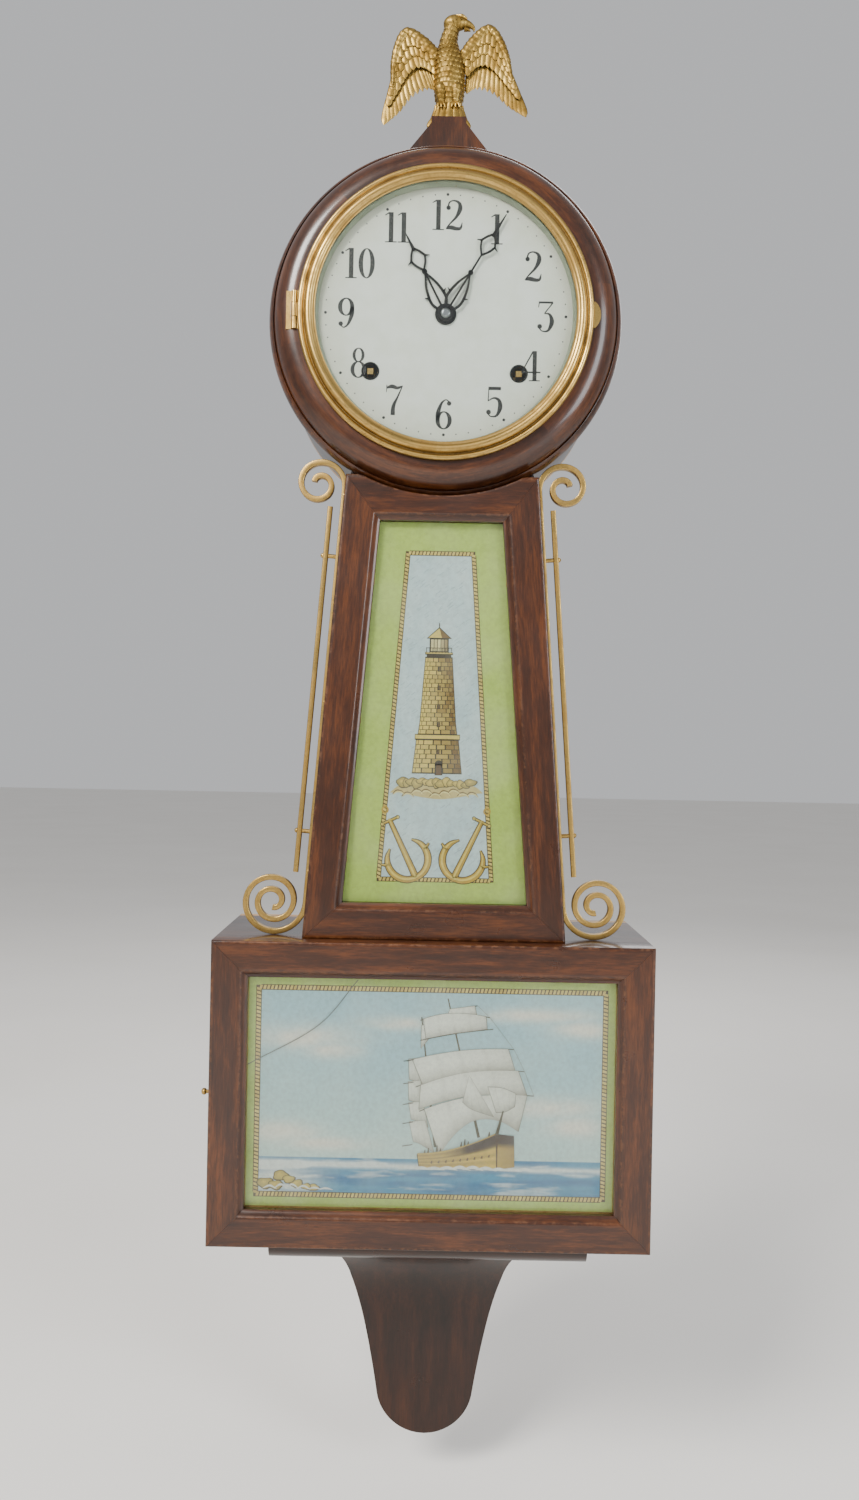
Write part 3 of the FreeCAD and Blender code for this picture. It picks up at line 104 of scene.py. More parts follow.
class Look:
    """One node material. node() adds any node, and the other methods are short ways to common ones."""

    def __init__(self, name):
        self.material = bpy.data.materials.new(name)
        self.material.use_nodes = True
        self.tree = self.material.node_tree
        self.tree.nodes.clear()

    def node(self, kind, settings=None, inputs=None, output=0):
        made = self.tree.nodes.new(kind)
        for key, value in (settings or {}).items():
            if key == "stops":
                set_stops(made.color_ramp, value)
            else:
                setattr(made, key, value)
        for key, value in (inputs or {}).items():
            if isinstance(value, Line):
                self.tree.links.new(value.socket, made.inputs[key])
            else:
                made.inputs[key].default_value = value
        return Line(self, made.outputs[output])

    def place(self, stretch=(1, 1, 1), attribute=None, shift=(0, 0, 0)):
        """Object coordinates, or a vector attribute of the piece, stretched along its axes."""
        if attribute:
            source = self.node("ShaderNodeAttribute", {"attribute_name": attribute}, output=1)
        else:
            source = self.node("ShaderNodeTexCoord", output=3)
        return self.node("ShaderNodeMapping", {}, {"Vector": source, "Scale": stretch, "Location": shift})

    def value(self, attribute):
        return self.node("ShaderNodeAttribute", {"attribute_name": attribute}, output=2)

    def noise(self, place, scale, detail=3.0, roughness=0.5):
        return self.node("ShaderNodeTexNoise", {}, {"Vector": place, "Scale": scale, "Detail": detail,
                                                    "Roughness": roughness})

    def between(self, value, low, high):
        """0 below low, 1 above high, and an even slope between them; low may be above high."""
        return self.node("ShaderNodeMapRange", {"interpolation_type": "SMOOTHSTEP"},
                         {"Value": value, "From Min": low, "From Max": high})

    def mix(self, share, first, second, blend="MIX"):
        return self.node("ShaderNodeMix", {"data_type": "RGBA", "blend_type": blend},
                         {0: share, 6: first, 7: second}, 2)

    def ramp(self, value, *stops):
        return self.node("ShaderNodeValToRGB", {"stops": stops}, {"Fac": value})

    def surface(self, colour, roughness, height=None, distance=0.00005, **constants):
        """Principled surface; height is the relief that the bump shows, over the distance given."""
        inputs = {"Base Color": colour, "Roughness": roughness}
        inputs.update({key.replace("_", " "): value for key, value in constants.items()})
        if height is not None:
            inputs["Normal"] = self.node("ShaderNodeBump", {}, {"Strength": 1.0, "Distance": distance,
                                                                "Height": height})
        return self.node("ShaderNodeBsdfPrincipled", {}, inputs)

    def output(self, shader):
        end = self.tree.nodes.new("ShaderNodeOutputMaterial")
        self.tree.links.new(shader.socket, end.inputs["Surface"])
        return self.material


def set_stops(ramp, stops):
    """Gives a ramp its stops: the two it has become the first and last, and the rest are added."""
    ramp.elements[0].position, ramp.elements[0].color = stops[0]
    ramp.elements[1].position, ramp.elements[1].color = stops[-1]
    for position, colour in stops[1:-1]:
        ramp.elements.new(position).color = colour


def paint(red, green, blue):
    """Screen colour from 0 to 255 as the linear colour that a shader takes."""
    screen = np.array([red, green, blue]) / 255.0
    linear = np.where(screen <= 0.04045, screen / 12.92, ((screen + 0.055) / 1.055) ** 2.4)
    return (float(linear[0]), float(linear[1]), float(linear[2]), 1.0)


# ==== materials ===================================================================================
ALONG_X, ALONG_Z = (1, 9, 9), (9, 9, 1)


def lacquered_wood(name, along, tones, coat, attribute=None):
    """Wood with its grain drawn out along one axis, dark pores, rubbed arrises and fine dust specks."""
    look = Look(name)
    grain = look.place(along, attribute)
    drift = look.noise(grain, 4.0, 2.0)
    figure = look.noise(grain, 22.0, 5.0, 0.62)
    streaks = look.noise(grain, 120.0, 4.0, 0.6)
    body = look.ramp(figure * 0.45 + drift * 0.3 + streaks * 0.25, (0.36, tones[0]), (0.5, tones[1]),
                     (0.66, tones[2]))
    fine = look.place(tuple(k if k == 1 else 22 for k in along), attribute)
    pores = look.between(look.noise(fine, 210.0, 2.0), 0.60, 0.72)
    body = look.mix(pores * 0.6, body, tones[3])
    plain = look.place((1, 1, 1), attribute)
    rubbed = look.value("wear") * look.between(look.noise(plain, 260.0, 4.0, 0.7), 0.46, 0.62)
    body = look.mix(rubbed * 0.5, body, tones[4])
    specks = look.between(look.noise(look.place(), 900.0, 1.0), 0.79, 0.83)
    body = look.mix(specks * 0.5, body, tones[4])
    smears = look.noise(look.place(), 38.0, 3.0)
    roughness = 0.2 + smears * 0.22 + rubbed * 0.2
    relief = 0.6 - pores * 0.15 + streaks * 0.15
    return look.output(look.surface(body, roughness, relief, 0.00003, Coat_Weight=coat, Coat_Roughness=0.13,
                                    Specular_IOR_Level=0.32))


RED_BROWN = (paint(26, 11, 5), paint(51, 24, 9), paint(88, 46, 16), paint(15, 7, 3), paint(110, 68, 34))
DARK_BROWN = (paint(20, 9, 4), paint(37, 17, 7), paint(58, 28, 11), paint(12, 6, 3), paint(82, 50, 26))
PALE_WOOD = (paint(150, 108, 66), paint(184, 142, 92), paint(208, 170, 118), paint(120, 82, 48),
             paint(214, 184, 140))


def worn_metal(name, bright, dull, dark, smooth=0.28, rough=0.5, metallic=1.0):
    """Metal with soft tarnish, painted shade darkening its hollows, and fine scratches."""
    look = Look(name)
    place = look.place()
    cloud = look.between(look.noise(place, 60.0, 5.0, 0.65), 0.38, 0.66)
    body = look.mix(cloud, bright, dull)
    grime = look.between(look.noise(place, 420.0, 4.0, 0.7), 0.56, 0.74)
    # painted shade: the hollow attribute darkens recesses, mixed with random grime
    hollow = look.value("hollow")
    body = look.mix(grime * 0.45 + hollow * 0.8, body, dark)
    scratches = look.noise(look.place((1, 1, 14)), 700.0, 2.0)
    roughness = cloud * (rough - smooth) + smooth + hollow * 0.15 + (scratches - 0.5) * 0.12
    relief = scratches * 0.5 + look.noise(place, 1500.0, 2.0) * 0.5
    return look.output(look.surface(body, roughness, relief, 0.00003, Metallic=metallic))


def dial_paint():
    """Cream enamel with faint mottling, yellower towards its rim."""
    look = Look("cream_dial_paint")
    flat = look.place((1, 0, 1), shift=(-HEAD_X, 0, -HEAD_Z))
    reach = look.node("ShaderNodeVectorMath", {"operation": "LENGTH"}, {0: flat}, 1)
    rim = look.between(reach, 50 * MM, 80 * MM)
    mottle = look.noise(look.place(), 90.0, 4.0, 0.6)
    body = look.mix(look.between(mottle, 0.35, 0.7), paint(247, 247, 238), paint(240, 241, 228))
    body = look.mix(rim * 0.55, body, paint(220, 214, 186))
    spots = look.between(look.noise(look.place(), 520.0, 2.0), 0.74, 0.8)
    body = look.mix(spots * 0.35, body, paint(170, 150, 110))
    return look.output(look.surface(body, mottle * 0.2 + 0.38, mottle, 0.00004))


def flange_paint():
    """Grey-green paint on the sight ring, with scuffs down to the metal."""
    look = Look("grey_green_flange_paint")
    place = look.place()
    mottle = look.noise(place, 150.0, 4.0)
    scuffs = look.between(look.noise(place, 600.0, 3.0), 0.66, 0.74)
    body = look.mix(mottle, paint(128, 136, 112), paint(178, 184, 160))
    body = look.mix(scuffs, body, paint(150, 128, 82))
    return look.output(look.surface(body, scuffs * -0.1 + 0.5, mottle, 0.00004))


def clear_glass(name, grime):
    """Glass that lets light straight through and mirrors it at its face, with a faint film of dust."""
    look = Look(name)
    film = look.between(look.noise(look.place(), 45.0, 4.0), 0.5, 0.8)
    mirror = look.surface(paint(235, 240, 238), film * 0.12 + 0.02, Metallic=1.0)
    clear = look.node("ShaderNodeBsdfTransparent", {}, {"Color": (0.97, 0.985, 0.98, 1.0)})
    share = look.node("ShaderNodeFresnel", {}, {"IOR": 1.5}) * 0.85 + film * grime
    return look.output(look.node("ShaderNodeMixShader", {}, {0: share, 1: clear, 2: mirror}))


def tablet_paint():
    """Hand-laid colours of the painted glasses, with the grain of the printed pattern in them."""
    look = Look("tablet_paint")
    tint = look.node("ShaderNodeAttribute", {"attribute_name": "tint"})
    place = look.place()
    dabs = look.noise(place, 420.0, 3.0, 0.6)
    wash = look.noise(place, 36.0, 3.0)
    body = look.mix(look.between(dabs, 0.30, 0.75) * 0.16, tint, paint(60, 50, 36), "MULTIPLY")
    body = look.mix(look.between(wash, 0.35, 0.7) * 0.10, body, paint(250, 246, 226))
    return look.output(look.surface(body, dabs * 0.2 + 0.5, dabs, 0.00002))


def dial_ink():
    """Black printing ink, a little thin in places."""
    look = Look("dial_ink")
    thin = look.between(look.noise(look.place(), 700.0, 3.0), 0.5, 0.75)
    body = look.mix(thin, paint(38, 37, 35), paint(84, 80, 72))
    return look.output(look.surface(body, thin * 0.2 + 0.4, thin, 0.00001))


WOOD_Z = lacquered_wood("mahogany_upright", ALONG_Z, RED_BROWN, 0.35)
WOOD_X = lacquered_wood("mahogany_level", ALONG_X, RED_BROWN, 0.35)
WOOD_SIDE = lacquered_wood("dark_mahogany_upright", ALONG_Z, DARK_BROWN, 0.28)
WOOD_BASE = lacquered_wood("dark_mahogany_level", ALONG_X, DARK_BROWN, 0.28)
WOOD_RAIL = lacquered_wood("mahogany_rails", ALONG_X, RED_BROWN, 0.38, "grain")
WOOD_PINE = lacquered_wood("plain_pine", ALONG_Z, PALE_WOOD, 0.0)
BRASS = worn_metal("aged_brass", paint(184, 152, 88), paint(148, 118, 64), paint(66, 48, 26))
GILT = worn_metal("antique_gilt", paint(182, 150, 80), paint(134, 104, 48), paint(40, 28, 12), 0.36, 0.54)
MOVEMENT_BRASS = worn_metal("movement_brass", paint(222, 188, 112), paint(190, 152, 84), paint(96, 70, 36),
                            0.22, 0.4)
BOB_BRASS = worn_metal("bob_brass", paint(214, 176, 98), paint(176, 138, 74), paint(90, 64, 32), 0.2, 0.36)
STEEL = worn_metal("bright_steel", paint(172, 174, 176), paint(138, 140, 142), paint(60, 54, 48), 0.26,
                   0.42)
BLACK_STEEL = worn_metal("black_steel", paint(34, 34, 36), paint(52, 48, 44), paint(20, 18, 18), 0.32, 0.5,
                         0.7)
IRON = worn_metal("painted_iron", paint(48, 48, 48), paint(66, 62, 58), paint(30, 24, 20), 0.45, 0.65, 0.3)
DIAL_PAINT = dial_paint()
FLANGE_PAINT = flange_paint()
GLASS = clear_glass("dial_glass", 0.006)
TABLET_GLASS = clear_glass("tablet_glass", 0.005)
TABLET_PAINT = tablet_paint()
INK = dial_ink()

NODE_LOOKS = {
    "mahogany": WOOD_X, "mahogany_dark": WOOD_SIDE, "pine": WOOD_PINE, "brass": BRASS, "antique_gilt": GILT,
    "movement_brass": MOVEMENT_BRASS, "steel": STEEL, "blued_steel": BLACK_STEEL, "iron": IRON,
    "lead_brass": BOB_BRASS, "dial_paint": DIAL_PAINT, "flange_paint": FLANGE_PAINT, "clear_glass": GLASS,
    "painted_glass": TABLET_GLASS,
}
OWN_LOOKS = {"bottom_bracket": WOOD_SIDE, "finial_plinth": WOOD_Z, "box_bottom": WOOD_BASE,
             "head_drum": WOOD_SIDE,
             "bracket_shelf": WOOD_BASE, "winding_grommets": BLACK_STEEL,
             "hand_nut": STEEL}


def dress_frame():
    """Every node of the frame takes the finish of its slot, or its own where its grain runs another way."""
    for part in frame["record"]["subparts"]:
        look = OWN_LOOKS.get(part["node"], NODE_LOOKS[part["material_slot"]])
        mesh = nodes[part["node"]].data
        mesh.materials.clear()
        mesh.materials.append(look)


# ==== meshes ======================================================================================
class Piece:
    """Collects grids of points and makes one mesh of them. Attribute values go with the points."""

    SIZES = {"grain": 3, "tint": 4}

    def __init__(self, *attributes):
        self.points = []
        self.quads = []
        self.triangles = []
        self.values = {name: [] for name in attributes}
        self.count = 0

    def grid(self, points, around=False, along=False, **values):
        """Quads between neighbouring rows and columns. around joins the last column to the first, along
        the last row to the first. Points that coincide become one, so a row squeezed to a point is a fan."""
        points = np.asarray(points, float)
        rows, columns = points.shape[:2]
        flat = points.reshape(-1, 3)
        _, first, index = np.unique(np.round(flat * 1e8).astype(np.int64), axis=0, return_index=True,
                                    return_inverse=True)
        index = index.reshape(rows, columns)
        if around:
            index = np.concatenate([index, index[:, :1]], 1)
        if along:
            index = np.concatenate([index, index[:1]], 0)
        corners = np.stack([index[:-1, :-1], index[:-1, 1:], index[1:, 1:], index[1:, :-1]], -1).reshape(-1,
                4)
        same = corners == np.roll(corners, -1, axis=1)
        crossed = (corners[:, 0] == corners[:, 2]) | (corners[:, 1] == corners[:, 3])
        whole = ~same.any(1) & ~crossed
        self.quads.append(corners[whole] + self.count)
        for side in range(4):
            only = same[:, side] & (same.sum(1) == 1) & ~crossed
            kept = [k for k in range(4) if k != side]
            self.triangles.append(corners[only][:, kept] + self.count)
        self.points.append(flat[first])
        for name, store in self.values.items():
            size = self.SIZES.get(name, 1)
            value = np.asarray(values.get(name, 0.0), float)
            if value.ndim == 0 or value.shape == (size,):
                full = np.broadcast_to(value, (rows, columns, size) if size > 1 else (rows, columns))
            else:
                full = value
            store.append(full.reshape(-1, size)[first])
        self.count += len(first)

    def tube(self, rings, **values):
        """Closed tube: rings of points joined around, and a fan over each end."""
        rings = np.asarray(rings, float)
        ends = [np.broadcast_to(ring.mean(0), ring.shape)[None] for ring in (rings[0], rings[-1])]
        repeated = {name: np.concatenate([value[:1], value, value[-1:]]) if np.ndim(value) > 1 else value
                 for name, value in values.items()}
        self.grid(np.concatenate([ends[0], rings, ends[1]]), around=True, **repeated)

    def slab(self, front, thickness, **values):
        """Thin closed plate: a grid, its copy set back along +Y by the thickness, and the rim between."""
        front = np.asarray(front, float)
        back = front + np.array([0.0, thickness, 0.0])
        rings = np.concatenate([front, back[:, ::-1]], 1)
        if np.allclose(front[0], front[-1], atol=1e-9):
            both = {name: np.concatenate([value, value[:, ::-1]], 1)[:-1] if np.ndim(value) > 1 else value
                    for name, value in values.items()}
            self.grid(rings[:-1], around=True, along=True, **both)
            return
        rim = [np.concatenate([row, row[::-1]])[None] for row in (front[0], front[-1])]
        repeated = {}
        for name, value in values.items():
            if np.ndim(value) > 1:
                both = np.concatenate([value, value[:, ::-1]], 1)
                value = np.concatenate([both[:1], both, both[-1:]])
            repeated[name] = value
        self.grid(np.concatenate([rim[0], rings, rim[1]]), around=True, **repeated)

    def tiles(self, corners, y, thickness, **values):
        """Many separate four-cornered plates; corners are (tile, corner, x and z)."""
        count = len(corners)
        front = np.insert(corners, 1, y, axis=2)
        back = np.insert(corners, 1, y + thickness, axis=2)
        flat = np.concatenate([front, back], 1).reshape(-1, 3)
        sides = np.array([[0, 1, 2, 3], [7, 6, 5, 4], [0, 4, 5, 1], [1, 5, 6, 2], [2, 6, 7, 3],
                          [3, 7, 4, 0]])
        self.quads.append((sides[None] + 8 * np.arange(count)[:, None, None]).reshape(-1, 4) + self.count)
        self.points.append(flat)
        for name, store in self.values.items():
            size = self.SIZES.get(name, 1)
            value = np.broadcast_to(np.asarray(values.get(name, 0.0), float).reshape(-1, 1, size),
                                    (count, 8, size))
            store.append(value.reshape(-1, size))
        self.count += 8 * count

    def finish(self, name, look, body, slot=None, replaces=(), crease=38.0):
        mesh = bpy.data.meshes.new(name)
        faces = np.concatenate(self.quads).tolist()
        if self.triangles:
            faces += np.concatenate(self.triangles).tolist()
        mesh.from_pydata(np.concatenate(self.points), [], faces)
        for key, store in self.values.items():
            kind, field = {4: ("FLOAT_COLOR", "color"), 3: ("FLOAT_VECTOR", "vector"),
                           1: ("FLOAT", "value")}[self.SIZES.get(key, 1)]
            attribute = mesh.attributes.new(key, kind, "POINT")
            attribute.data.foreach_set(field, np.concatenate(store).astype(np.float32).ravel())
        work = bmesh.new()
        work.from_mesh(mesh)
        bmesh.ops.recalc_face_normals(work, faces=work.faces)
        work.to_mesh(mesh)
        work.free()
        mesh.shade_smooth()
        mesh.set_sharp_from_angle(angle=math.radians(crease))
        mesh.materials.append(look)
        made = bpy.data.objects.new(name, mesh)
        bpy.context.scene.collection.objects.link(made)
        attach(made, body)
        if replaces:
            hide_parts(*replaces)
        return made


def arc(centre, radius, start, end, steps):
    """Points of an arc in a plane; the angles are in degrees, counter-clockwise from the first axis."""
    angle = np.radians(np.linspace(start, end, steps))
    return np.stack([centre[0] + radius * np.cos(angle), centre[1] + radius * np.sin(angle)], 1)


def through(start, middle, end, steps):
    """Points of the circular arc from start through middle to end."""
    a, b, c = (np.array(p, float) for p in (start, middle, end))
    d = 2 * (a[0] * (b[1] - c[1]) + b[0] * (c[1] - a[1]) + c[0] * (a[1] - b[1]))
    squares = [p @ p for p in (a, b, c)]
    centre = np.array([(squares[0] * (b[1] - c[1]) + squares[1] * (c[1] - a[1]) + squares[2]
                        * (a[1] - b[1])) / d,
                       (squares[0] * (c[0] - b[0]) + squares[1] * (a[0] - c[0]) + squares[2]
                        * (b[0] - a[0])) / d])
    angles = [math.atan2(*(p - centre)[::-1]) for p in (a, b, c)]
    sweep = (angles[2] - angles[0]) % TURN
    if (angles[1] - angles[0]) % TURN > sweep:
        sweep -= TURN
    angle = angles[0] + sweep * np.linspace(0, 1, steps)
    radius = math.dist(a, centre)
    return np.stack([centre[0] + radius * np.cos(angle), centre[1] + radius * np.sin(angle)], 1)


def smooth_line(points, count):
    """Even samples of the smooth curve through the points: each span is the cubic whose slope at a
    point is half the step between that point's two neighbours."""
    points = np.asarray(points, float)
    ends = np.concatenate([[2 * points[0] - points[1]], points, [2 * points[-1] - points[-2]]])
    place = np.linspace(0, len(points) - 1, count)
    span = np.minimum(place.astype(int), len(points) - 2)
    t = (place - span).reshape((-1,) + (1,) * (points.ndim - 1))
    p0, p1, p2, p3 = (ends[span + k] for k in range(4))
    return 0.5 * (2 * p1 + (p2 - p0) * t + (2 * p0 - 5 * p1 + 4 * p2 - p3) * t ** 2
                  + (3 * p1 - p0 - 3 * p2 + p3) * t ** 3)


def side_of(path):
    """Unit vectors square to a flat path, on its left."""
    step = np.gradient(path, axis=0)
    step /= np.linalg.norm(step, axis=1, keepdims=True)
    return np.stack([-step[:, 1], step[:, 0]], 1)


def flat_stroke(points, widths, count=14, smooth=True):
    """Grid of two columns: a line's points moved half a width to each side of it."""
    rows = np.concatenate([np.asarray(points, float), np.asarray(widths, float)[:, None]], 1)
    if smooth and len(rows) > 2:
        rows = smooth_line(rows, count)
    else:
        place = np.linspace(0, len(rows) - 1, count)
        rows = np.stack([np.interp(place, np.arange(len(rows)), column) for column in rows.T], 1)
    reach = side_of(rows[:, :2]) * rows[:, 2:] / 2
    return np.stack([rows[:, :2] + reach, rows[:, :2] - reach], 1)


def stand(flat, y):
    """Flat (x, z) points set upright at a depth; the depth may be one value or one per point."""
    flat = np.asarray(flat, float)
    return np.stack([flat[..., 0], np.broadcast_to(y, flat.shape[:-1]), flat[..., 1]], -1)


def rounded_section(half_wide, half_deep, radius, steps=4):
    """Ring of points of a rectangle with quarter-circle corners, about its middle."""
    corners = []
    for sx, sy, start in ((1, 1, 0), (-1, 1, 90), (-1, -1, 180), (1, -1, 270)):
        corners.append(arc((sx * (half_wide - radius), sy * (half_deep - radius)), radius, start,
                           start + 90, steps))
    return np.concatenate(corners)


def round_section(steps):
    return arc((0, 0), 1.0, 0, 360, steps + 1)[:-1]


# ==== turned pieces ===============================================================================
RING_SEGMENTS = 6


def turned_profile(parts, centre_x, centre_z, angles):
    """Rings of a turned piece: at each angle the profile's (radius, y) points stand out from the axis."""
    profile = np.concatenate([np.atleast_2d(part) for part in parts]) * MM
    radius, y = profile.T
    return np.stack([centre_x + radius[None] * np.cos(angles)[:, None],
                     np.broadcast_to(y, (len(angles), len(y))),
                     centre_z + radius[None] * np.sin(angles)[:, None]], -1)


def head_ring():
    """Wooden ring glued up of segments and turned: outer bead, quirk, swelling face and flat seat."""
    piece = Piece("grain", "wear")
    parts = [(80.0, -80.0), through((101.2, -80.0), (103.8, -86.6), (101.6, -92.8), 15), (100.9, -93.1),
             (100.4, -92.3),
             through((100.3, -92.6), (96.0, -99.9), (87.5, -103.2), 18), (84.0, -103.2), (78.4, -103.2),
             (78.0, -102.8),
             (78.0, -100.2), (80.0, -100.2)]
    wear = np.concatenate([[0.0], np.interp(np.arange(15), [0, 7, 14], [0.1, 0.9, 0.3]), [0.1, 0.0],
                           np.interp(np.arange(18), [0, 6, 17], [0.5, 0.15, 0.1]),
                           [0.0, 0.2, 0.3, 0.0, 0.0]])
    for k in range(RING_SEGMENTS):
        angles = np.linspace(k, k + 1, 37) * TURN / RING_SEGMENTS + math.radians(12)
        rings = turned_profile(parts, HEAD_X, HEAD_Z, angles)
        radius = np.hypot(rings[..., 0] - HEAD_X, rings[..., 2] - HEAD_Z)
        length = np.broadcast_to((angles * 92 * MM)[:, None], radius.shape)
        grain = np.stack([length + k * 0.31, radius + k * 0.07, rings[..., 1]], -1)
        piece.tube(rings, grain=grain, wear=np.broadcast_to(wear, radius.shape))
    return piece.finish("turned_head_ring", WOOD_RAIL, "case", "mahogany", ["head_ring"])


def brass_bezel():
    """Spun brass ring: outer roll, cove, inner roll and the thin lip that holds the glass."""
    piece = Piece("hollow")
    parts = [(77.3, -103.5), (84.9, -103.5), through((85.3, -104.1), (84.7, -106.3), (82.9, -106.1), 12),
             through((82.5, -105.5), (81.9, -105.3), (81.4, -105.8), 5),
             through((81.3, -106.3), (79.3, -108.2), (77.1, -107.2), 14),
             (76.2, -106.8), (75.2, -106.9), (75.2, -106.5), (77.3, -106.5)]
    angles = np.linspace(0, TURN, 241)[:-1]
    rings = turned_profile(parts, HEAD_X, HEAD_Z, angles)
    # painted shade: darker in the cove between the rolls and at the inner lip
    hollow = np.concatenate([[0, 0.2], np.zeros(12), [0.5, 0.9, 1, 0.9, 0.5], np.zeros(14),
                             [0.7, 0.2, 0, 0]])
    piece.grid(rings, around=True, along=True, hollow=np.broadcast_to(hollow, rings.shape[:2]))
    return piece.finish("spun_bezel", BRASS, "dial_door", "brass", ["bezel"])


# ==== mitred frames ===============================================================================
FLAT, BEVEL, BEVEL_DROP, REBATE = 17.5 * MM, 3.5 * MM, 3.0 * MM, 4.0 * MM
ARRIS = 0.9 * MM
MITRE_GAP = 0.07 * MM


def inset(corners, amount):
    """Quadrilateral, counter-clockwise, with every side moved inwards by an amount."""
    corners = np.asarray(corners, float)
    step = np.roll(corners, -1, axis=0) - corners
    step /= np.linalg.norm(step, axis=1, keepdims=True)
    inward = np.stack([-step[:, 1], step[:, 0]], 1)
    reach = (inward * corners).sum(1) + amount
    previous, previous_reach = np.roll(inward, 1, axis=0), np.roll(reach, 1)
    det = previous[:, 0] * inward[:, 1] - previous[:, 1] * inward[:, 0]
    return np.stack([(previous_reach * inward[:, 1] - previous[:, 1] * reach) / det,
                     (previous[:, 0] * reach - previous_reach * inward[:, 0]) / det], 1)


def rail(piece, edges, front, back, number):
    """One mitred rail: its section is carried from mitre to mitre between the four lines of the frame.
    edges are the outer, bevel, sight and rebate lines as rows of points along the rail."""
    outer, bevel, sight, rebate = edges
    round_share = ARRIS / FLAT
    section = [(outer, outer, 0.0, back, 0.0), (outer, outer, 0.0, front + ARRIS, 0.6),
               (outer, bevel, 0.3 * round_share, front + 0.3 * ARRIS, 1.0),
               (outer, bevel, round_share, front, 0.7)]
    section += [(outer, bevel, share, front, 0.0) for share in (0.12, 0.35, 0.65, 0.9)]
    section += [(outer, bevel, 0.97, front, 0.4), (outer, bevel, 1.0, front + 0.3 * MM, 0.8)]
    section += [(bevel, sight, share, front + BEVEL_DROP * (share + 0.22 * math.sin(math.pi * share)), 0.1)
                for share in (0.25, 0.5, 0.75)]
    section += [(bevel, sight, 1.0, front + BEVEL_DROP, 0.2),
                (sight, sight, 0.0, front + 2 * BEVEL_DROP, 0.0),
                (rebate, rebate, 0.0, front + 2 * BEVEL_DROP, 0.0), (rebate, rebate, 0.0, back, 0.0)]
    rings = np.stack([stand(a + (b - a) * share, y) for a, b, share, y, _ in section], 1)
    wear = np.broadcast_to([row[4] for row in section], rings.shape[:2])
    run = outer[-1] - outer[0]
    run = run / np.linalg.norm(run)
    flat = rings[..., [0, 2]]
    grain = np.stack([flat @ run + number * 0.41, flat @ np.array([-run[1], run[0]]) + number * 0.13,
                      rings[..., 1]], -1)
    piece.tube(rings, grain=grain, wear=wear)


def mitred_frame(outer, sight, front, back, round_over_head=False):
    """Four rails round a glass. The top rail of the throat ends in the curve of the head ring."""
    piece = Piece("grain", "wear")
    lines = [outer, inset(sight, -BEVEL), sight, inset(sight, -REBATE)]
    for i in range(4):
        j = (i + 1) % 4
        length = math.dist(outer[i], outer[j])
        share = np.linspace(MITRE_GAP / length, 1 - MITRE_GAP / length, 61)[:, None]
        edges = [line[i] + (line[j] - line[i]) * share for line in lines]
        if i == 2 and round_over_head:
            reach = RING_RADIUS + 0.2 * MM
            half = np.minimum(np.abs(edges[0][:, 0] - HEAD_X), reach)
            edges[0][:, 1] = np.minimum(edges[0][:, 1], HEAD_Z - np.sqrt(reach ** 2 - half ** 2))
        rail(piece, edges, front, back, i)
    return piece


def taper(z_low, z_high, half_low, half_high):
    """Corners of an upright taper, from its lower left, counter-clockwise."""
    return np.array([(-half_low, z_low), (half_low, z_low), (half_high, z_high), (-half_high, z_high)])


THROAT_LOW, THROAT_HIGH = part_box("throat_frame")
THROAT_LEAN = 0.0755
THROAT_OUTER = taper(THROAT_LOW.z, THROAT_HIGH.z, THROAT_HIGH.x,
                     THROAT_HIGH.x - THROAT_LEAN * (THROAT_HIGH.z - THROAT_LOW.z))
THROAT_SIGHT = taper(THROAT_FOOT + 20.9 * MM, THROAT_FOOT + 244.5 * MM, 54 * MM, 36 * MM)
DOOR_LOW, DOOR_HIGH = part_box("door_frame")
DOOR_OUTER = taper(DOOR_LOW.z, DOOR_HIGH.z, DOOR_HIGH.x, DOOR_HIGH.x)
DOOR_SIGHT = inset(DOOR_OUTER, FLAT + BEVEL)


def frames():
    throat = mitred_frame(THROAT_OUTER, THROAT_SIGHT, THROAT_LOW.y, THROAT_HIGH.y, True)
    throat.finish("mitred_throat_frame", WOOD_RAIL, "case", "mahogany", ["throat_frame"], 50)
    door = mitred_frame(DOOR_OUTER, DOOR_SIGHT, DOOR_LOW.y, DOOR_HIGH.y)
    door.finish("mitred_door_frame", WOOD_RAIL, "box_door", "mahogany", ["door_frame"], 50)


# ==== side scrolls and rails ======================================================================
STRIP = 3.3 * MM
STRIP_INSET = 0.8 * MM
UPPER_START = -173.5 * MM
SCROLL_FINE = 40


def strip_x(z):
    """Centre line of the strip on the right-hand throat side."""
    return THROAT_HIGH.x - THROAT_LEAN * (z - THROAT_FOOT) - STRIP_INSET + STRIP / 2


def spiral(start, radius, pitch, turns, sense):
    """Even spiral that leaves the strip at its start: the radius falls by one pitch in each turn."""
    rate = pitch / TURN
    first = math.pi + math.atan(THROAT_LEAN) - sense * math.atan(rate / radius)
    centre = np.array([start[0] - radius * math.cos(first), start[1] - radius * math.sin(first)])
    swept = np.linspace(0, TURN * turns, round(turns * SCROLL_FINE) + 1)
    reach = radius - rate * swept
    angle = first + sense * swept
    return centre + np.stack([reach * np.cos(angle), reach * np.sin(angle)], 1)


def sweep_flat(piece, path, section, y, **values):
    """Carries a (side, depth) section along a flat path at one depth."""
    aside = side_of(path)
    flat = path[:, None] + aside[:, None] * section[None, :, :1]
    piece.tube(stand(flat, y + section[None, :, 1]), **values)


def both_sides(path):
    return [path, path * np.array([-1.0, 1.0])]


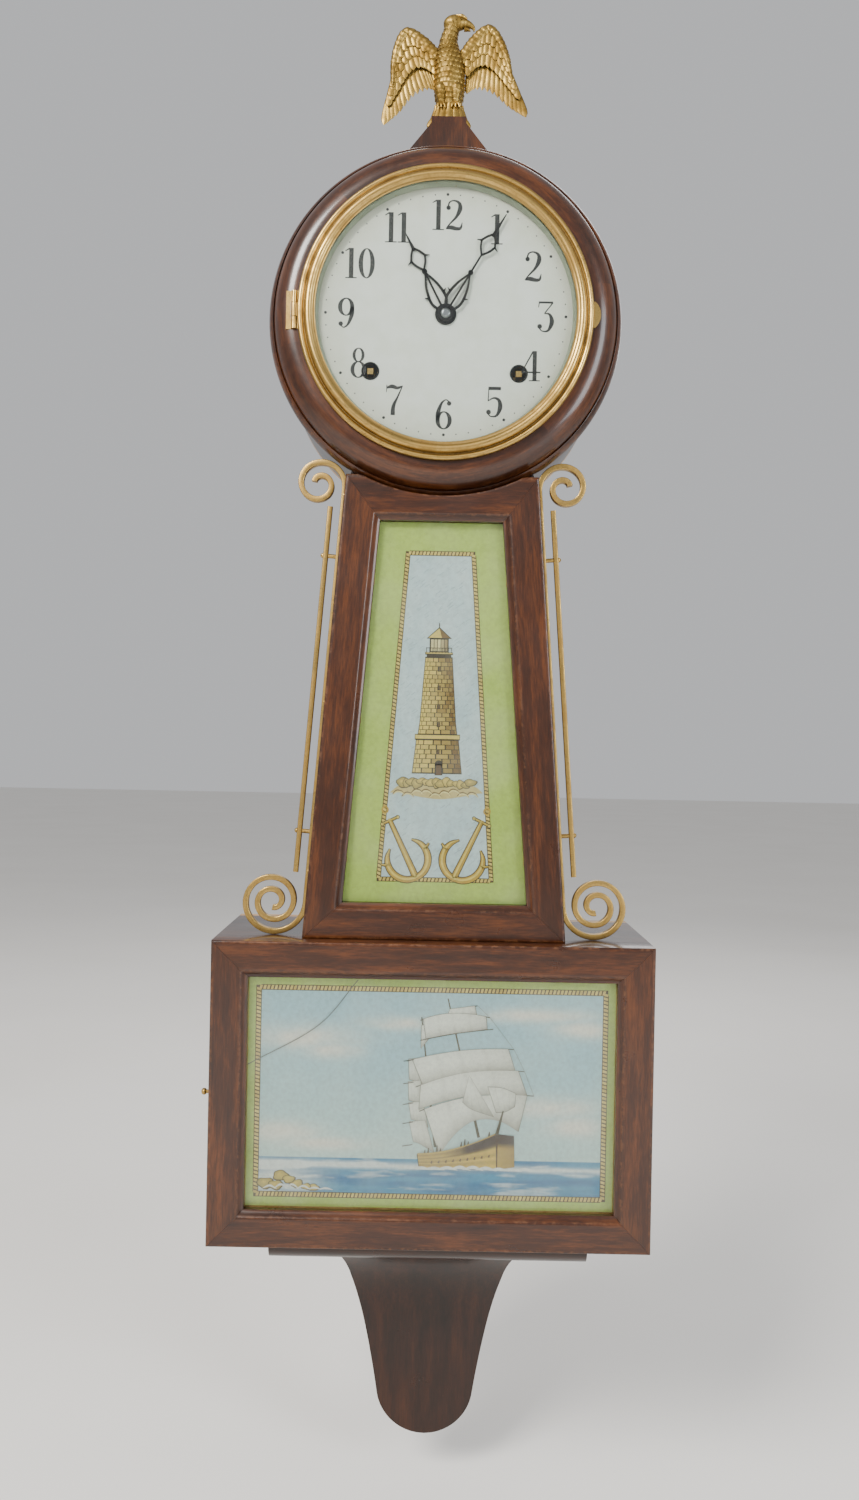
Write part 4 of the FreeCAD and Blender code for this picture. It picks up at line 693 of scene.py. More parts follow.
def side_scrolls():
    """One bright-edged strip each side: spiral above, run down the throat, larger spiral below."""
    low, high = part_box("side_scrolls")
    middle, half_deep = (low.y + high.y) / 2, (high.y - low.y) / 2
    upper = spiral((strip_x(UPPER_START), UPPER_START), 15.1 * MM, 8.0 * MM, 1.45, -1)
    foot_z = THROAT_FOOT + STRIP / 2 + (19.5 - 7.1 / 4) * MM
    lower = spiral((strip_x(foot_z), foot_z), 19.5 * MM, 7.1 * MM, 2.25, 1)
    run = np.linspace(upper[0], lower[0], 60)[1:-1]
    path = np.concatenate([upper[::-1], run, lower])
    section = rounded_section(STRIP / 2, half_deep, 0.45 * MM)
    piece = Piece("hollow")
    for line in both_sides(path):
        sweep_flat(piece, line, section, middle)
    return piece.finish("scroll_strips", BRASS, "case", "brass", ["side_scrolls"])


def side_rails():
    """Slim rail beside each strip, with rounded edges along its length."""
    low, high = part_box("side_rails")
    middle, half_deep = (low.y + high.y) / 2, (high.y - low.y) / 2
    ends = [(strip_x(z) + STRIP / 2 + 6.0 * MM, z) for z in (low.z + 0.3 * MM, high.z - 0.3 * MM)]
    path = np.linspace(ends[0], ends[1], 80)
    section = rounded_section(1.5 * MM, half_deep, 0.5 * MM)
    piece = Piece("hollow")
    for line in both_sides(path):
        sweep_flat(piece, line, section, middle)
    return piece.finish("outer_rails", BRASS, "case", "brass", ["side_rails"])


# ==== hands =======================================================================================
def hand(name, node, length, kite_at, hub, y, clockwise, body):
    """Pierced hand: hub disc, two curved arms that meet, stem with a bead, kite with barbs, tapered tip."""
    piece = Piece("hollow")
    section = rounded_section(0.5, 0.3 * MM, 0.12 * MM, 3)
    angle = math.radians(clockwise)
    turn = np.array([[math.cos(angle), -math.sin(angle)], [math.sin(angle), math.cos(angle)]])

    def blade(points, widths, count=16, smooth=True):
        rows = np.array([(x, z, w) for (x, z), w in zip(points, widths)], float) * MM
        rows = smooth_line(rows, count) if smooth and len(rows) > 2 else np.linspace(rows[0], rows[-1],
                count)
        aside = side_of(rows[:, :2])
        flat = rows[:, None, :2] + aside[:, None] * section[None, :, :1] * rows[:, None, 2:]
        flat = flat @ turn + np.array([HEAD_X, HEAD_Z])
        piece.tube(stand(flat, y + section[None, :, 1]))

    for side in (-1, 1):
        blade([(side * 2.6, hub * 0.7), (side * 4.7, 9.5), (side * 3.5, 18.0), (side * 0.4, 26.0)],
              [1.4, 1.6, 1.4, 1.0])
        blade([(side * 4.2, 12.0), (side * 6.8, 13.4)], [1.3, 0.3], 6)
        blade([(side * 0.2, kite_at - 7.4), (side * 2.9, kite_at - 3.6), (side * 4.4, kite_at)],
              [1.1, 1.2, 1.2], 8)
        blade([(side * 4.4, kite_at), (side * 2.6, kite_at + 3.4), (side * 0.2, kite_at + 6.4)],
              [1.2, 1.2, 1.1], 8)
        blade([(side * 4.2, kite_at), (side * 6.9, kite_at - 1.2)], [1.1, 0.3], 6)
    blade([(0, hub * 0.5), (0, kite_at - 6.6)], [1.2, 1.0], 12)
    blade([(0, kite_at + 4.8), (0, length)], [2.2, 0.5], 16)
    bead = np.linspace(-1.5, 1.5, 9)
    blade([(0, 27.5 + b) for b in bead], [2 * math.sqrt(max(2.4 - b * b, 0.05)) for b in bead], 9)
    disc = turned_profile([(0, y / MM - 0.3), (hub - 0.3, y / MM - 0.3), (hub, y / MM), (hub, y / MM + 0.3),
                           (0, y / MM + 0.3)],
                          HEAD_X, HEAD_Z, np.linspace(0, TURN, 49)[:-1])
    piece.grid(disc, along=True)
    return piece.finish(name, BLACK_STEEL, body, "blued_steel", [node])


def hands():
    for name, node, length, kite_at, hub, clockwise, body in (
            ("pierced_hour_hand", "hour_hand", 52.0, 36.0, 6.2, 332.5, "hour_pipe"),
            ("pierced_minute_hand", "minute_hand", 67.0, 47.0, 5.0, 30.5, "minute_arbor")):
        low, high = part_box(node)
        hand(name, node, length, kite_at, hub, (low.y + high.y) / 2, clockwise, body)


# ==== dial printing ===============================================================================
NUMERAL_HEIGHT = 17.5 * MM
NUMERAL_RADIUS = 57.7 * MM
DOT_RADIUS = 69.6 * MM
PRINT = 0.05 * MM


def ring_stroke(x, z, half_wide, half_high, thick, thin):
    """Closed oval stroke, thick at its sides and thin above and below."""
    angle = np.linspace(0, TURN, 41)
    outer = np.stack([x + half_wide * np.cos(angle), z + half_high * np.sin(angle)], 1)
    inner = np.stack([x + (half_wide - thick) * np.cos(angle), z + (half_high - thin) * np.sin(angle)], 1)
    return np.stack([outer, inner], 1)


def ball(x, z, radius):
    """Round dot as a fan: rows of points shrink to the middle."""
    angle = np.linspace(0, TURN, 17)
    rim = np.stack([x + radius * np.cos(angle), z + radius * np.sin(angle)], 1)
    return np.stack([rim, np.broadcast_to([x, z], rim.shape)], 1)


def bar(x0, x1, z0, z1):
    return np.array([[(x0, z0), (x0, z1)], [(x1, z0), (x1, z1)]], float)


def numeral_strokes(digit):
    """Upright numeral one unit high about x = 0, as flat strokes; every digit but 1 is about 0.56 wide."""
    if digit == 0:
        return [ring_stroke(0, 0.5, 0.27, 0.5, 0.15, 0.035)]
    if digit == 1:
        return [bar(-0.075, 0.075, 0, 1), bar(-0.19, 0.19, 0, 0.035),
                flat_stroke([(-0.06, 0.985), (-0.2, 0.9)], [0.05, 0.03], 3)]
    if digit == 2:
        return [flat_stroke([(-0.2, 0.74), (-0.15, 0.92), (0.0, 0.98), (0.17, 0.9), (0.2, 0.7),
                             (0.08, 0.44), (-0.12, 0.22), (-0.25, 0.05)],
                            [0.05, 0.05, 0.05, 0.10, 0.15, 0.09, 0.05, 0.04], 30), ball(-0.18, 0.74, 0.075),
                flat_stroke([(-0.25, 0.05), (-0.1, 0.09), (0.1, 0.05), (0.23, 0.08), (0.28, 0.26)],
                            [0.05, 0.14, 0.12, 0.09, 0.02], 16)]
    if digit == 3:
        return [bar(-0.2, 0.25, 0.93, 1.0), flat_stroke([(-0.2, 1.0), (-0.23, 0.8)], [0.035, 0.025], 3),
                flat_stroke([(0.24, 0.95), (-0.03, 0.6)], [0.04, 0.04], 3),
                flat_stroke([(-0.04, 0.6), (0.14, 0.57), (0.22, 0.32), (0.1, 0.04), (-0.1, 0.02),
                             (-0.21, 0.14)],
                            [0.03, 0.08, 0.15, 0.08, 0.04, 0.05], 26), ball(-0.18, 0.17, 0.08)]
    if digit == 4:
        return [bar(0.05, 0.19, 0, 1), flat_stroke([(0.06, 0.98), (-0.3, 0.3)], [0.05, 0.04], 3),
                bar(-0.32, 0.32, 0.27, 0.32),
                bar(-0.06, 0.3, 0, 0.035)]
    if digit == 5:
        return [bar(-0.18, 0.23, 0.89, 1.0), flat_stroke([(-0.17, 0.98), (-0.19, 0.52)], [0.035, 0.035], 3),
                flat_stroke([(-0.19, 0.53), (0.0, 0.63), (0.17, 0.55), (0.21, 0.31), (0.1, 0.05),
                             (-0.1, 0.02), (-0.2, 0.13)],
                            [0.03, 0.06, 0.11, 0.15, 0.08, 0.04, 0.05], 28), ball(-0.17, 0.16, 0.08)]
    if digit == 6:
        return [ring_stroke(0, 0.3, 0.27, 0.3, 0.14, 0.04),
                flat_stroke([(-0.2, 0.3), (-0.19, 0.55), (-0.08, 0.86), (0.06, 0.98), (0.17, 0.92)],
                            [0.14, 0.14, 0.08, 0.04, 0.04], 22),
                ball(0.17, 0.86, 0.075)]
    if digit == 7:
        return [flat_stroke([(-0.25, 0.9), (-0.08, 0.95), (0.1, 0.9), (0.27, 0.97)],
                            [0.06, 0.13, 0.1, 0.03], 14),
                flat_stroke([(-0.25, 1.0), (-0.26, 0.76)], [0.03, 0.025], 3),
                flat_stroke([(0.27, 0.98), (0.12, 0.62), (-0.02, 0.3), (-0.04, 0.0)],
                            [0.03, 0.06, 0.12, 0.15], 18)]
    if digit == 8:
        return [ring_stroke(0, 0.76, 0.2, 0.24, 0.10, 0.035), ring_stroke(0, 0.28, 0.26, 0.28, 0.13, 0.04)]
    return [stroke * -1 + np.array([0.0, 1.0]) for stroke in numeral_strokes(6)]


def dial_printing():
    """Hour numerals, and the minute dots with a larger one at each hour."""
    piece = Piece()
    for hour in range(1, 13):
        angle = math.radians(30 * hour)
        centre = np.array([HEAD_X + NUMERAL_RADIUS * math.sin(angle),
                           HEAD_Z + NUMERAL_RADIUS * math.cos(angle)])
        digits = [int(d) for d in str(hour)]
        widths = [0.42 if d == 1 else 0.6 for d in digits]
        x = -sum(widths) / 2
        for digit, width in zip(digits, widths):
            for stroke in numeral_strokes(digit):
                flat = (stroke + np.array([x + width / 2, -0.5])) * NUMERAL_HEIGHT + centre
                piece.slab(stand(flat, DIAL_FACE - PRINT), PRINT * 1.2)
            x += width
    for minute in range(60):
        angle = math.radians(6 * minute)
        size = (0.85 if minute % 5 == 0 else 0.38) * MM
        dot = ball(HEAD_X + DOT_RADIUS * math.sin(angle), HEAD_Z + DOT_RADIUS * math.cos(angle), size)
        piece.slab(stand(dot, DIAL_FACE - PRINT), PRINT * 1.2)
    return piece.finish("dial_printing", INK, "case")


# ==== painted glasses =============================================================================
LAYER = 0.05 * MM


class Tablet:
    """Layers of paint behind one glass; layer 0 is the ground, and higher layers lie nearer the glass."""

    def __init__(self, glass, origin, layers):
        self.piece = Piece("tint")
        self.back = back_of(glass)
        self.origin = np.array(origin)
        self.top_layer = layers

    def depth(self, layer):
        return self.back + (self.top_layer - layer + 1) * LAYER

    def patch(self, flat, layer, tint):
        """flat is a grid of (x, z) in millimetres from the origin; tint is one colour or a grid of them."""
        tint = np.asarray(tint, float)
        placed = np.asarray(flat, float) * MM + self.origin
        self.piece.slab(stand(placed, self.depth(layer)), LAYER * 0.6, tint=tint)

    def line(self, points, width, layer, tint, count=14, smooth=False):
        widths = np.broadcast_to(width, (len(points),))
        self.patch(flat_stroke(points, widths, count, smooth), layer, tint)

    def tiles(self, corners, layer, tints):
        placed = np.asarray(corners, float) * MM + self.origin
        self.piece.tiles(placed, self.depth(layer), LAYER * 0.6, tint=tints)


def shaded(share, dark, light):
    """Colours from dark to light as the share goes from 0 to 1."""
    share = np.clip(np.asarray(share, float), 0, 1)[..., None]
    return np.asarray(dark) * (1 - share) + np.asarray(light) * share


LATTICE = rng.random((64, 64))


def cloudiness(x, z, size):
    """Smooth random field from 0 to 1: values at the crossings of a lattice, blended between them."""
    u, v = x / size + 31.7, z / size + 17.3
    i, j = np.floor(u).astype(int), np.floor(v).astype(int)
    fu, fv = u - i, v - j
    fu, fv = fu * fu * (3 - 2 * fu), fv * fv * (3 - 2 * fv)
    a, b = LATTICE[i % 64, j % 64], LATTICE[(i + 1) % 64, j % 64]
    c, d = LATTICE[i % 64, (j + 1) % 64], LATTICE[(i + 1) % 64, (j + 1) % 64]
    return (a * (1 - fu) + b * fu) * (1 - fv) + (c * (1 - fu) + d * fu) * fv


def layered_cloudiness(x, z, size):
    return sum(cloudiness(x + 9 * k, z - 5 * k, size / 2 ** k) / 2 ** (k + 1) for k in range(4)) / 0.94


def quad_grid(corners, across, up):
    """Grid of points inside four corners, counter-clockwise from the lower left."""
    u = np.linspace(0, 1, across)[:, None, None]
    v = np.linspace(0, 1, up)[None, :, None]
    a, b, c, d = (np.asarray(corner, float) for corner in corners)
    return (a * (1 - u) + b * u) * (1 - v) + (d * (1 - u) + c * u) * v


def rope(tablet, corners, wide, layer):
    """Twisted rope along the sides of a quadrilateral: slanted lays on a dark line."""
    pitch = 2.2
    corners = np.asarray(corners, float)
    for i in range(4):
        start, end = corners[i], corners[(i + 1) % 4]
        length = math.dist(start, end)
        along = (end - start) / length
        aside = np.array([-along[1], along[0]])
        tablet.line([start - along * wide / 2, end - along * wide / 2], wide + 0.9, layer,
                    paint(84, 62, 14), 2)
        count = round(length / pitch)
        middle = start + along * (np.arange(count)[:, None] + 0.5) * length / count
        offsets = np.array([(-1.15, -0.5), (0.45, -0.5), (1.15, 0.5), (-0.45, 0.5)])
        shape = offsets[:, :1] * along * 0.9 + offsets[:, 1:] * aside * wide
        shine = 0.5 + 0.5 * rng.random(count)
        tablet.tiles(middle[:, None] + shape[None], layer + 1,
                     shaded(shine, paint(190, 148, 40), paint(244, 218, 116)))


def border_and_field(tablet, sight, rope_corners, rope_wide):
    """Green ground over the whole sight opening, and the rope round the picture."""
    ground = quad_grid((np.asarray(sight) - tablet.origin) / MM, 30, 40)
    mottle = layered_cloudiness(ground[..., 0], ground[..., 1], 24)
    tablet.patch(ground, 0, shaded(mottle, paint(186, 210, 84), paint(202, 222, 106)))
    rope(tablet, rope_corners, rope_wide, 2)


def throat_tablet():
    """Lighthouse on its rocks in a pale blue field, with two anchors below."""
    tablet = Tablet("throat_glass", (HEAD_X, 0.0), 10)
    rope_corners = [(-33.15, -403.5), (33.15, -403.5), (19.25, -211.6), (-19.25, -211.6)]
    border_and_field(tablet, THROAT_SIGHT, rope_corners, 2.0)
    field = quad_grid(rope_corners, 40, 110)
    mist = layered_cloudiness(field[..., 0] * 2, field[..., 1], 20)
    tablet.patch(field, 1, shaded(mist, paint(196, 220, 224), paint(226, 240, 238)))
    slanted_flecks(tablet)
    lighthouse(tablet)
    rocks_and_surf(tablet)
    anchor(tablet, 1)
    anchor(tablet, -1)
    tablet.piece.finish("throat_painting", TABLET_PAINT, "case", "painted_glass")


def slanted_flecks(tablet):
    """Faint slanting dashes all over the pale field."""
    count = 460
    z = rng.uniform(-400, -215, count)
    half = 33.15 - (z + 403.5) * 0.0724 - 2.5
    x = rng.uniform(-1, 1, count) * half
    size = rng.uniform(0.6, 1.5, count)
    offsets = np.array([(-1.0, -0.62), (-0.85, -0.78), (1.0, 0.62), (0.85, 0.78)])
    tablet.tiles(np.stack([x, z], 1)[:, None] + offsets[None] * size[:, None, None], 2,
                 shaded(rng.random(count), paint(160, 186, 192), paint(190, 208, 208)))


GOLD_DARK, GOLD, GOLD_PALE, OUTLINE = paint(128, 92, 20), paint(206, 164, 52), paint(240, 212,
        104), paint(58, 42, 14)


def tower_half(z):
    """Half width of the stone tower: a slight taper, wider below the ledge."""
    return np.interp(z, [-341.2, -321.0, -318.0, -311.2, -272.4], [14.4, 12.2, 11.3, 10.4, 7.7])


def courses(tablet, z_low, z_high, course, layer):
    """Courses of stones round the tower, each lighter at its left and darker at its right."""
    rows = round((z_high - z_low) / course)
    for row in range(rows):
        low, high = (z_low + (z_high - z_low) * (row + k) / rows for k in (0.08, 0.94))
        half_low, half_high = tower_half(low), tower_half(high)
        stones = 7
        edges = np.linspace(-1, 1, stones + 1) + (row % 2) / stones
        edges = np.unique(np.clip(np.concatenate([[-1], edges + rng.uniform(-0.05, 0.05, stones + 1), [1]]),
                                  -1, 1))
        left, right = edges[:-1] + 0.02, edges[1:] - 0.02
        keep = right - left > 0.03
        left, right = np.sin(left[keep] * math.pi / 2), np.sin(right[keep] * math.pi / 2)
        corners = np.stack([np.stack([left * half_low, np.full_like(left, low)], 1),
                            np.stack([right * half_low, np.full_like(left, low)], 1),
                            np.stack([right * half_high, np.full_like(left, high)], 1),
                            np.stack([left * half_high, np.full_like(left, high)], 1)], 1)
        light = 0.62 - 0.55 * (left + right) / 2 + rng.uniform(-0.22, 0.22, len(left))
        tablet.tiles(corners, layer, shaded(light, GOLD_DARK, GOLD_PALE))


def lighthouse(tablet):
    """Stone tower with a ledge, lantern room, gallery and pointed roof."""
    heights = np.linspace(-341.2, -272.4, 60)
    outline = np.stack([np.stack([-tower_half(heights) - 0.35, heights], 1),
                        np.stack([tower_half(heights) + 0.35, heights], 1)], 1)
    tablet.patch(outline, 3, OUTLINE)
    courses(tablet, -340.6, -321.4, 2.6, 4)
    courses(tablet, -317.8, -273.0, 2.5, 4)
    tablet.line([(-13.3, -319.6), (13.3, -319.6)], 3.4, 4, OUTLINE, 2)
    tablet.line([(-13.0, -319.5), (13.0, -319.5)], 2.2, 5, GOLD_PALE, 2)
    tablet.line([(-7.2, -272.0), (7.2, -272.0)], 2.0, 4, OUTLINE, 2)
    tablet.line([(-8.2, -270.4), (8.2, -270.4)], 1.5, 4, OUTLINE, 2)
    tablet.line([(-7.9, -270.2), (7.9, -270.2)], 0.7, 5, GOLD_PALE, 2)
    tablet.patch(quad_grid([(-5.6, -269.7), (5.6, -269.7), (5.6, -261.4), (-5.6, -261.4)], 2, 2), 4,
                 OUTLINE)
    panes = np.linspace(-5.0, 5.0, 6)
    corners = np.array([[(a + 0.2, -269.0), (b - 0.2, -269.0), (b - 0.2, -262.2), (a + 0.2, -262.2)]
                        for a, b in zip(panes[:-1], panes[1:])])
    tablet.tiles(corners, 5, shaded([0.9, 0.75, 1.0, 0.5, 0.25], GOLD_DARK, paint(246, 232, 170)))
    tablet.line([(-7.7, -267.2), (7.7, -267.2)], 0.4, 6, OUTLINE, 2)
    for x in np.linspace(-7.4, 7.4, 9):
        tablet.line([(x, -267.2), (x, -270.2)], 0.35, 6, OUTLINE, 2)
    tablet.patch([[(-7.5, -261.7), (7.5, -261.7)], [(-0.2, -255.0), (0.2, -255.0)]], 4, OUTLINE)
    tablet.patch([[(-6.4, -261.2), (1.5, -261.2)], [(-0.2, -255.8), (0.1, -255.8)]], 5, GOLD_PALE)
    tablet.patch([[(1.5, -261.2), (6.4, -261.2)], [(0.1, -255.8), (0.2, -255.8)]], 5, GOLD_DARK)
    tablet.line([(0, -255.4), (0, -252.6)], 0.6, 5, OUTLINE, 2)
    for z in (-279.5, -290.5, -301.5, -312.0, -328.0):
        tablet.line([(0.4, z - 1.6), (0.4, z + 1.3)], 2.0, 6, OUTLINE, 3)
        tablet.line([(0.6, z - 1.2), (0.6, z + 0.9)], 0.9, 7, paint(110, 84, 40), 3)
    tablet.line([(1.0, -342.0), (1.0, -335.2)], 4.6, 6, OUTLINE, 3)
    tablet.patch(ball(1.0, -335.4, 2.3), 6, OUTLINE)
    tablet.line([(1.0, -341.8), (1.0, -336.0)], 2.8, 7, paint(104, 70, 30), 3)


def boulder(tablet, x, z, wide, high, layer, light):
    """Rounded stone: an uneven oval, dark at its edge and pale at its upper left."""
    angle = np.linspace(0, TURN, 19)
    wobble = 1 + 0.10 * np.sin(3 * angle + x) + 0.06 * np.sin(5 * angle + z)
    rim = np.stack([wide * np.cos(angle) * wobble, high * np.sin(angle) * wobble], 1)
    rings = np.stack([rim * k + np.array([x - wide * 0.2 * (1 - k), z + high * 0.25 * (1 - k)])
                      for k in (1, 0.88, 0.8, 0.4, 0)], 1)
    tint = shaded(np.broadcast_to([0.0, 0.1, light * 0.8, light, 1.0], rings.shape[:2]), OUTLINE, GOLD_PALE)
    tablet.patch(rings, layer, tint)


def rocks_and_surf(tablet):
    """Boulders round the tower's foot and curling surf in front of them."""
    bank = [(-27, -352.5), (-20, -350), (-10, -350.5), (2, -351.5), (14, -350.5), (22, -350.5), (27, -352)]
    tablet.line(bank, [0.5, 5.0, 8.5, 9.0, 8.0, 4.5, 0.5], 5, paint(222, 200, 128), 40, True)
    for k in range(15):
        share = k / 14
        x = -20 + 40 * share
        boulder(tablet, x, -345.0 - 2.2 * rng.random() - 1.5 * abs(share - 0.5), 2.2 + 1.8 * rng.random(),
                2.0 + 1.6 * rng.random(), 6 + 0.12 * k, 0.6 + 0.35 * rng.random())
    for k in range(9):
        x = -22 + 5.4 * k
        low = -353.4 - 1.2 * math.sin(k * 1.9)
        curl = [(x - 3.8, low), (x - 1.4, low + 1.9), (x + 1.4, low + 1.5), (x + 3.4, low - 0.4)]
        tablet.line(curl, [0.3, 1.3, 1.2, 0.3], 8 + 0.06 * k, paint(120, 88, 24), 14, True)
        tablet.line([(p[0] + 0.2, p[1] - 0.5) for p in curl], [0.2, 0.9, 0.8, 0.2], 9 + 0.06 * k,
                    paint(248, 232, 160), 14, True)


ANCHOR_CROWN, ANCHOR_LEAN, SHANK, ARM_RADIUS = (11.0, -402.5), 25.5, 38.0, 12.0


def anchor(tablet, side):
    """Stocked anchor leaning outwards: a dark edge, a gold face and a pale light line along it."""
    lean = math.radians(ANCHOR_LEAN)
    up, right = np.array([math.sin(lean), math.cos(lean)]), np.array([math.cos(lean), -math.sin(lean)])

    def placed(points):
        points = np.atleast_2d(np.asarray(points, float))
        flat = np.array(ANCHOR_CROWN) + points[:, :1] * right + points[:, 1:] * up
        return flat * np.array([side, 1.0])

    def stroke(points, widths, smooth=True, count=18):
        line = placed(points)
        tablet.line(line, np.array(widths) + 1.0, 4, OUTLINE, count, smooth)
        tablet.line(line, np.array(widths), 5, GOLD, count, smooth)
        tablet.line(line + np.array([-0.25, 0.3]), np.array(widths) * 0.35, 6, GOLD_PALE, count, smooth)

    stroke([(0, SHANK), (0, 0)], [2.0, 3.4], False, 6)
    for hand_side in (-1, 1):
        arm = arc((0, ARM_RADIUS), ARM_RADIUS, -90, 55, 7) * np.array([hand_side, 1.0])
        stroke(arm, [3.2, 3.4, 3.6, 3.6, 3.2, 2.2, 0.4])
        stroke([(hand_side * 11, 13), (hand_side * 15.5, 15.5)], [2.2, 0.4], False, 6)
    stroke([(-5, SHANK - 1), (5, SHANK - 1)], [1.1, 1.1], False, 4)
    for reach in (-5, 5):
        x, z = placed((reach, SHANK - 1))[0]
        tablet.patch(ball(x, z, 1.25), 5, OUTLINE)
        tablet.patch(ball(x, z, 0.85), 6, GOLD_PALE)
    x, z = placed((0, SHANK + 6))[0]
    tablet.patch(ring_stroke(x, z, 2.2, 2.2, 0.9, 0.9), 5, GOLD)


# ---- ship picture --------------------------------------------------------------------------------
# Places are (x, z) in millimetres about the painting's middle. Most of those of the clouds, sails, hull,
# rocks and crack are points read off the photo, which a separate conversion script turned into
# millimetres, rounded since to about half a millimetre. The others were given directly.
HORIZON = -38.1
SKY_HIGH, SKY_LOW = paint(178, 216, 224), paint(212, 234, 226)
# Each cloud: the place of its middle, half its length and half its height.
CLOUDS = ((-72, 31, 30, 7), (-58, 24, 16, 5), (-85, -24, 22, 6),
          (-60, -30, 26, 4), (68, -7, 26, 6), (84, -18, 16, 6),
          (58, 46, 34, 4), (88, 38, 18, 5), (-20, 40, 20, 4))


def sky_tint(x, z):
    """Pale blue, warmer low down, with soft clouds: each is an oval whose edge a cloudy field breaks up."""
    base = shaded((20 - z) / 70 + 0.25 * layered_cloudiness(x, z * 2, 40), SKY_HIGH, SKY_LOW)
    cover = np.zeros_like(x)
    for cx, cz, wide, high in CLOUDS:
        oval = np.exp(-((x - cx) / wide) ** 2 - ((z - cz) / high) ** 2)
        cover = np.maximum(cover, oval * (0.35 + 1.1 * layered_cloudiness(x, z * 1.6, 14)))
    return shaded_over(base, cover * 1.0, paint(252, 246, 230))


def shaded_over(base, share, colour):
    share = np.clip(share, 0, 1)[..., None]
    return base * (1 - share) + np.asarray(colour) * share


def sea_tint(x, z):
    """Blue water in level streaks under a pale band of foam, with whiter patches at the shore and the bow."""
    down = HORIZON - z
    streak = layered_cloudiness(x, z * 9, 26)
    base = shaded(0.1 + streak * 0.9, paint(10, 88, 152), paint(74, 170, 206))
    foam = np.exp(-((down - 3.4 - 1.5 * streak - 0.01 * (x + 20)) / 1.7) ** 2)
    crests = np.clip((layered_cloudiness(x + 60, z * 7, 20) - 0.56) * 6, 0, 1) * 0.6
    shore = np.exp(-((x + 88) / 24) ** 2 - ((down - 11) / 9) ** 2) * streak * 1.7
    return shaded_over(base, foam * (0.45 + streak) + crests + shore, paint(244, 247, 240))


def sail(tablet, head, foot, layer, light=1.0):
    """Sail between its head and foot lines: bright where it bellies out, and darker towards its foot."""
    across, down = np.linspace(0, 1, 25)[:, None], np.linspace(0, 1, 15)[None]
    high_edge, low_edge = smooth_line(head, 25)[:, None], smooth_line(foot, 25)[:, None]
    flat = high_edge * (1 - down)[..., None] + low_edge * down[..., None]
    shade = 0.92 + 0.12 * np.sin(math.pi * down) - 0.42 * down ** 3 - 0.2 * across ** 3
    seams = 0.10 * np.clip(np.cos(across * 8 * math.pi) - 0.8, 0, 1) * 5
    tablet.patch(grown(flat, 0.35), layer, paint(134, 128, 102))
    tablet.patch(flat, layer + 0.6,
                 shaded((shade - seams) * light, paint(122, 112, 82), paint(255, 253, 238)))


def grown(flat, amount):
    """The same patch a little larger about its middle, for a thin outline."""
    middle = flat.mean((0, 1))
    reach = flat - middle
    return middle + reach * (1 + amount / np.abs(reach).max((0, 1)))


MAST_TRUCK, MAST_RAKE = (9.0, 55.0), 0.24
# Each line of a sail: its height at the mast, its reach to the left and right of it, how much it rises
# from left to right, and how far its ends droop.
SQUARE_SAILS = {
    "royal": ((49.0, 1, 14, 2.0, 0.0), (44.5, 0, 14, 1.5, 0.0)),
    "topgallant": ((46.5, 16, 20, 1.0, 2.5), (35.0, 17, 18, 3.0, 0.5)),
    "course": ((-1.5, 26, 33, 4.5, 3.0), (-15.0, 20, 25, 7.0, 13.0)),
    "lower_topsail": ((12.5, 25, 31, 4.5, 3.0), (-1.0, 29, 33, 4.5, 3.5)),
    "upper_topsail": ((25.0, 27, 28, 3.5, 2.0), (12.5, 24, 29, 4.5, 2.5)),
}
LEE_STEPS = (20.0, 7.0, -5.0, -16.0, -29.0)
AFT_MAST = [(-6, 44), (3, -31)]
BOWSPRIT = [(42, -9), (38.5, -23)]
# The sails that are not square to the mast: the points of the head, then those of the foot.
SMALL_TOPGALLANT = [(-6, 39), (-3, 40.5)], [(-6, 26), (-2, 31.5)]
OUTER_JIB = [(33, 4.5), (41, 4), (49, 1)], [(38, -10), (43, -9.5), (48.5, -6.5)]
INNER_JIB = [(22, 11), (22.4, 10.5)], [(18.5, -4.5), (24, -8.5), (36.5, -12.5)]


def sail_line(height, left, right, rise, droop, past=0.0):
    """Points of a yard or of a sail's foot; the line may run a little past both of its ends."""
    share = np.linspace(-1 - past, 1 + past, 7)
    across = np.where(share < 0, share * left, share * right)
    mast = MAST_TRUCK[0] + (MAST_TRUCK[1] - height) * MAST_RAKE
    return np.stack([mast + across, height + rise * share - droop * share ** 2], 1)


def rigging(tablet, spar):
    """Masts, the bare ends of the yards, and the thin stays from one yard's end to the next."""
    deck = -25.0
    foot = (MAST_TRUCK[0] + (MAST_TRUCK[1] - deck) * MAST_RAKE, deck)
    tablet.line([MAST_TRUCK, foot], [0.7, 1.7], 2, spar, 8)
    tablet.line(AFT_MAST, [0.7, 1.5], 2, spar, 8)
    ends = []
    for head, _ in SQUARE_SAILS.values():
        inner, outer = sail_line(*head), sail_line(*head, past=0.12)
        tablet.line([outer[0], inner[0]], 0.5, 16.6, spar, 2)
        tablet.line([inner[-1], outer[-1]], 0.5, 16.6, spar, 2)
        ends.append(outer[-1])
    ends.sort(key=lambda end: -end[1])
    for upper, lower in zip(ends[:-1], ends[1:]):
        tablet.line([upper, lower], 0.2, 16.7, paint(150, 150, 128), 2)
    for height in LEE_STEPS:
        tablet.line([(-16, height - 1.5), (-10, height - 0.5)], 0.45, 16.6, spar, 2)
    tablet.line(sail_line(*SQUARE_SAILS["topgallant"][1], past=0.2), 0.5, 16.6, spar, 12)


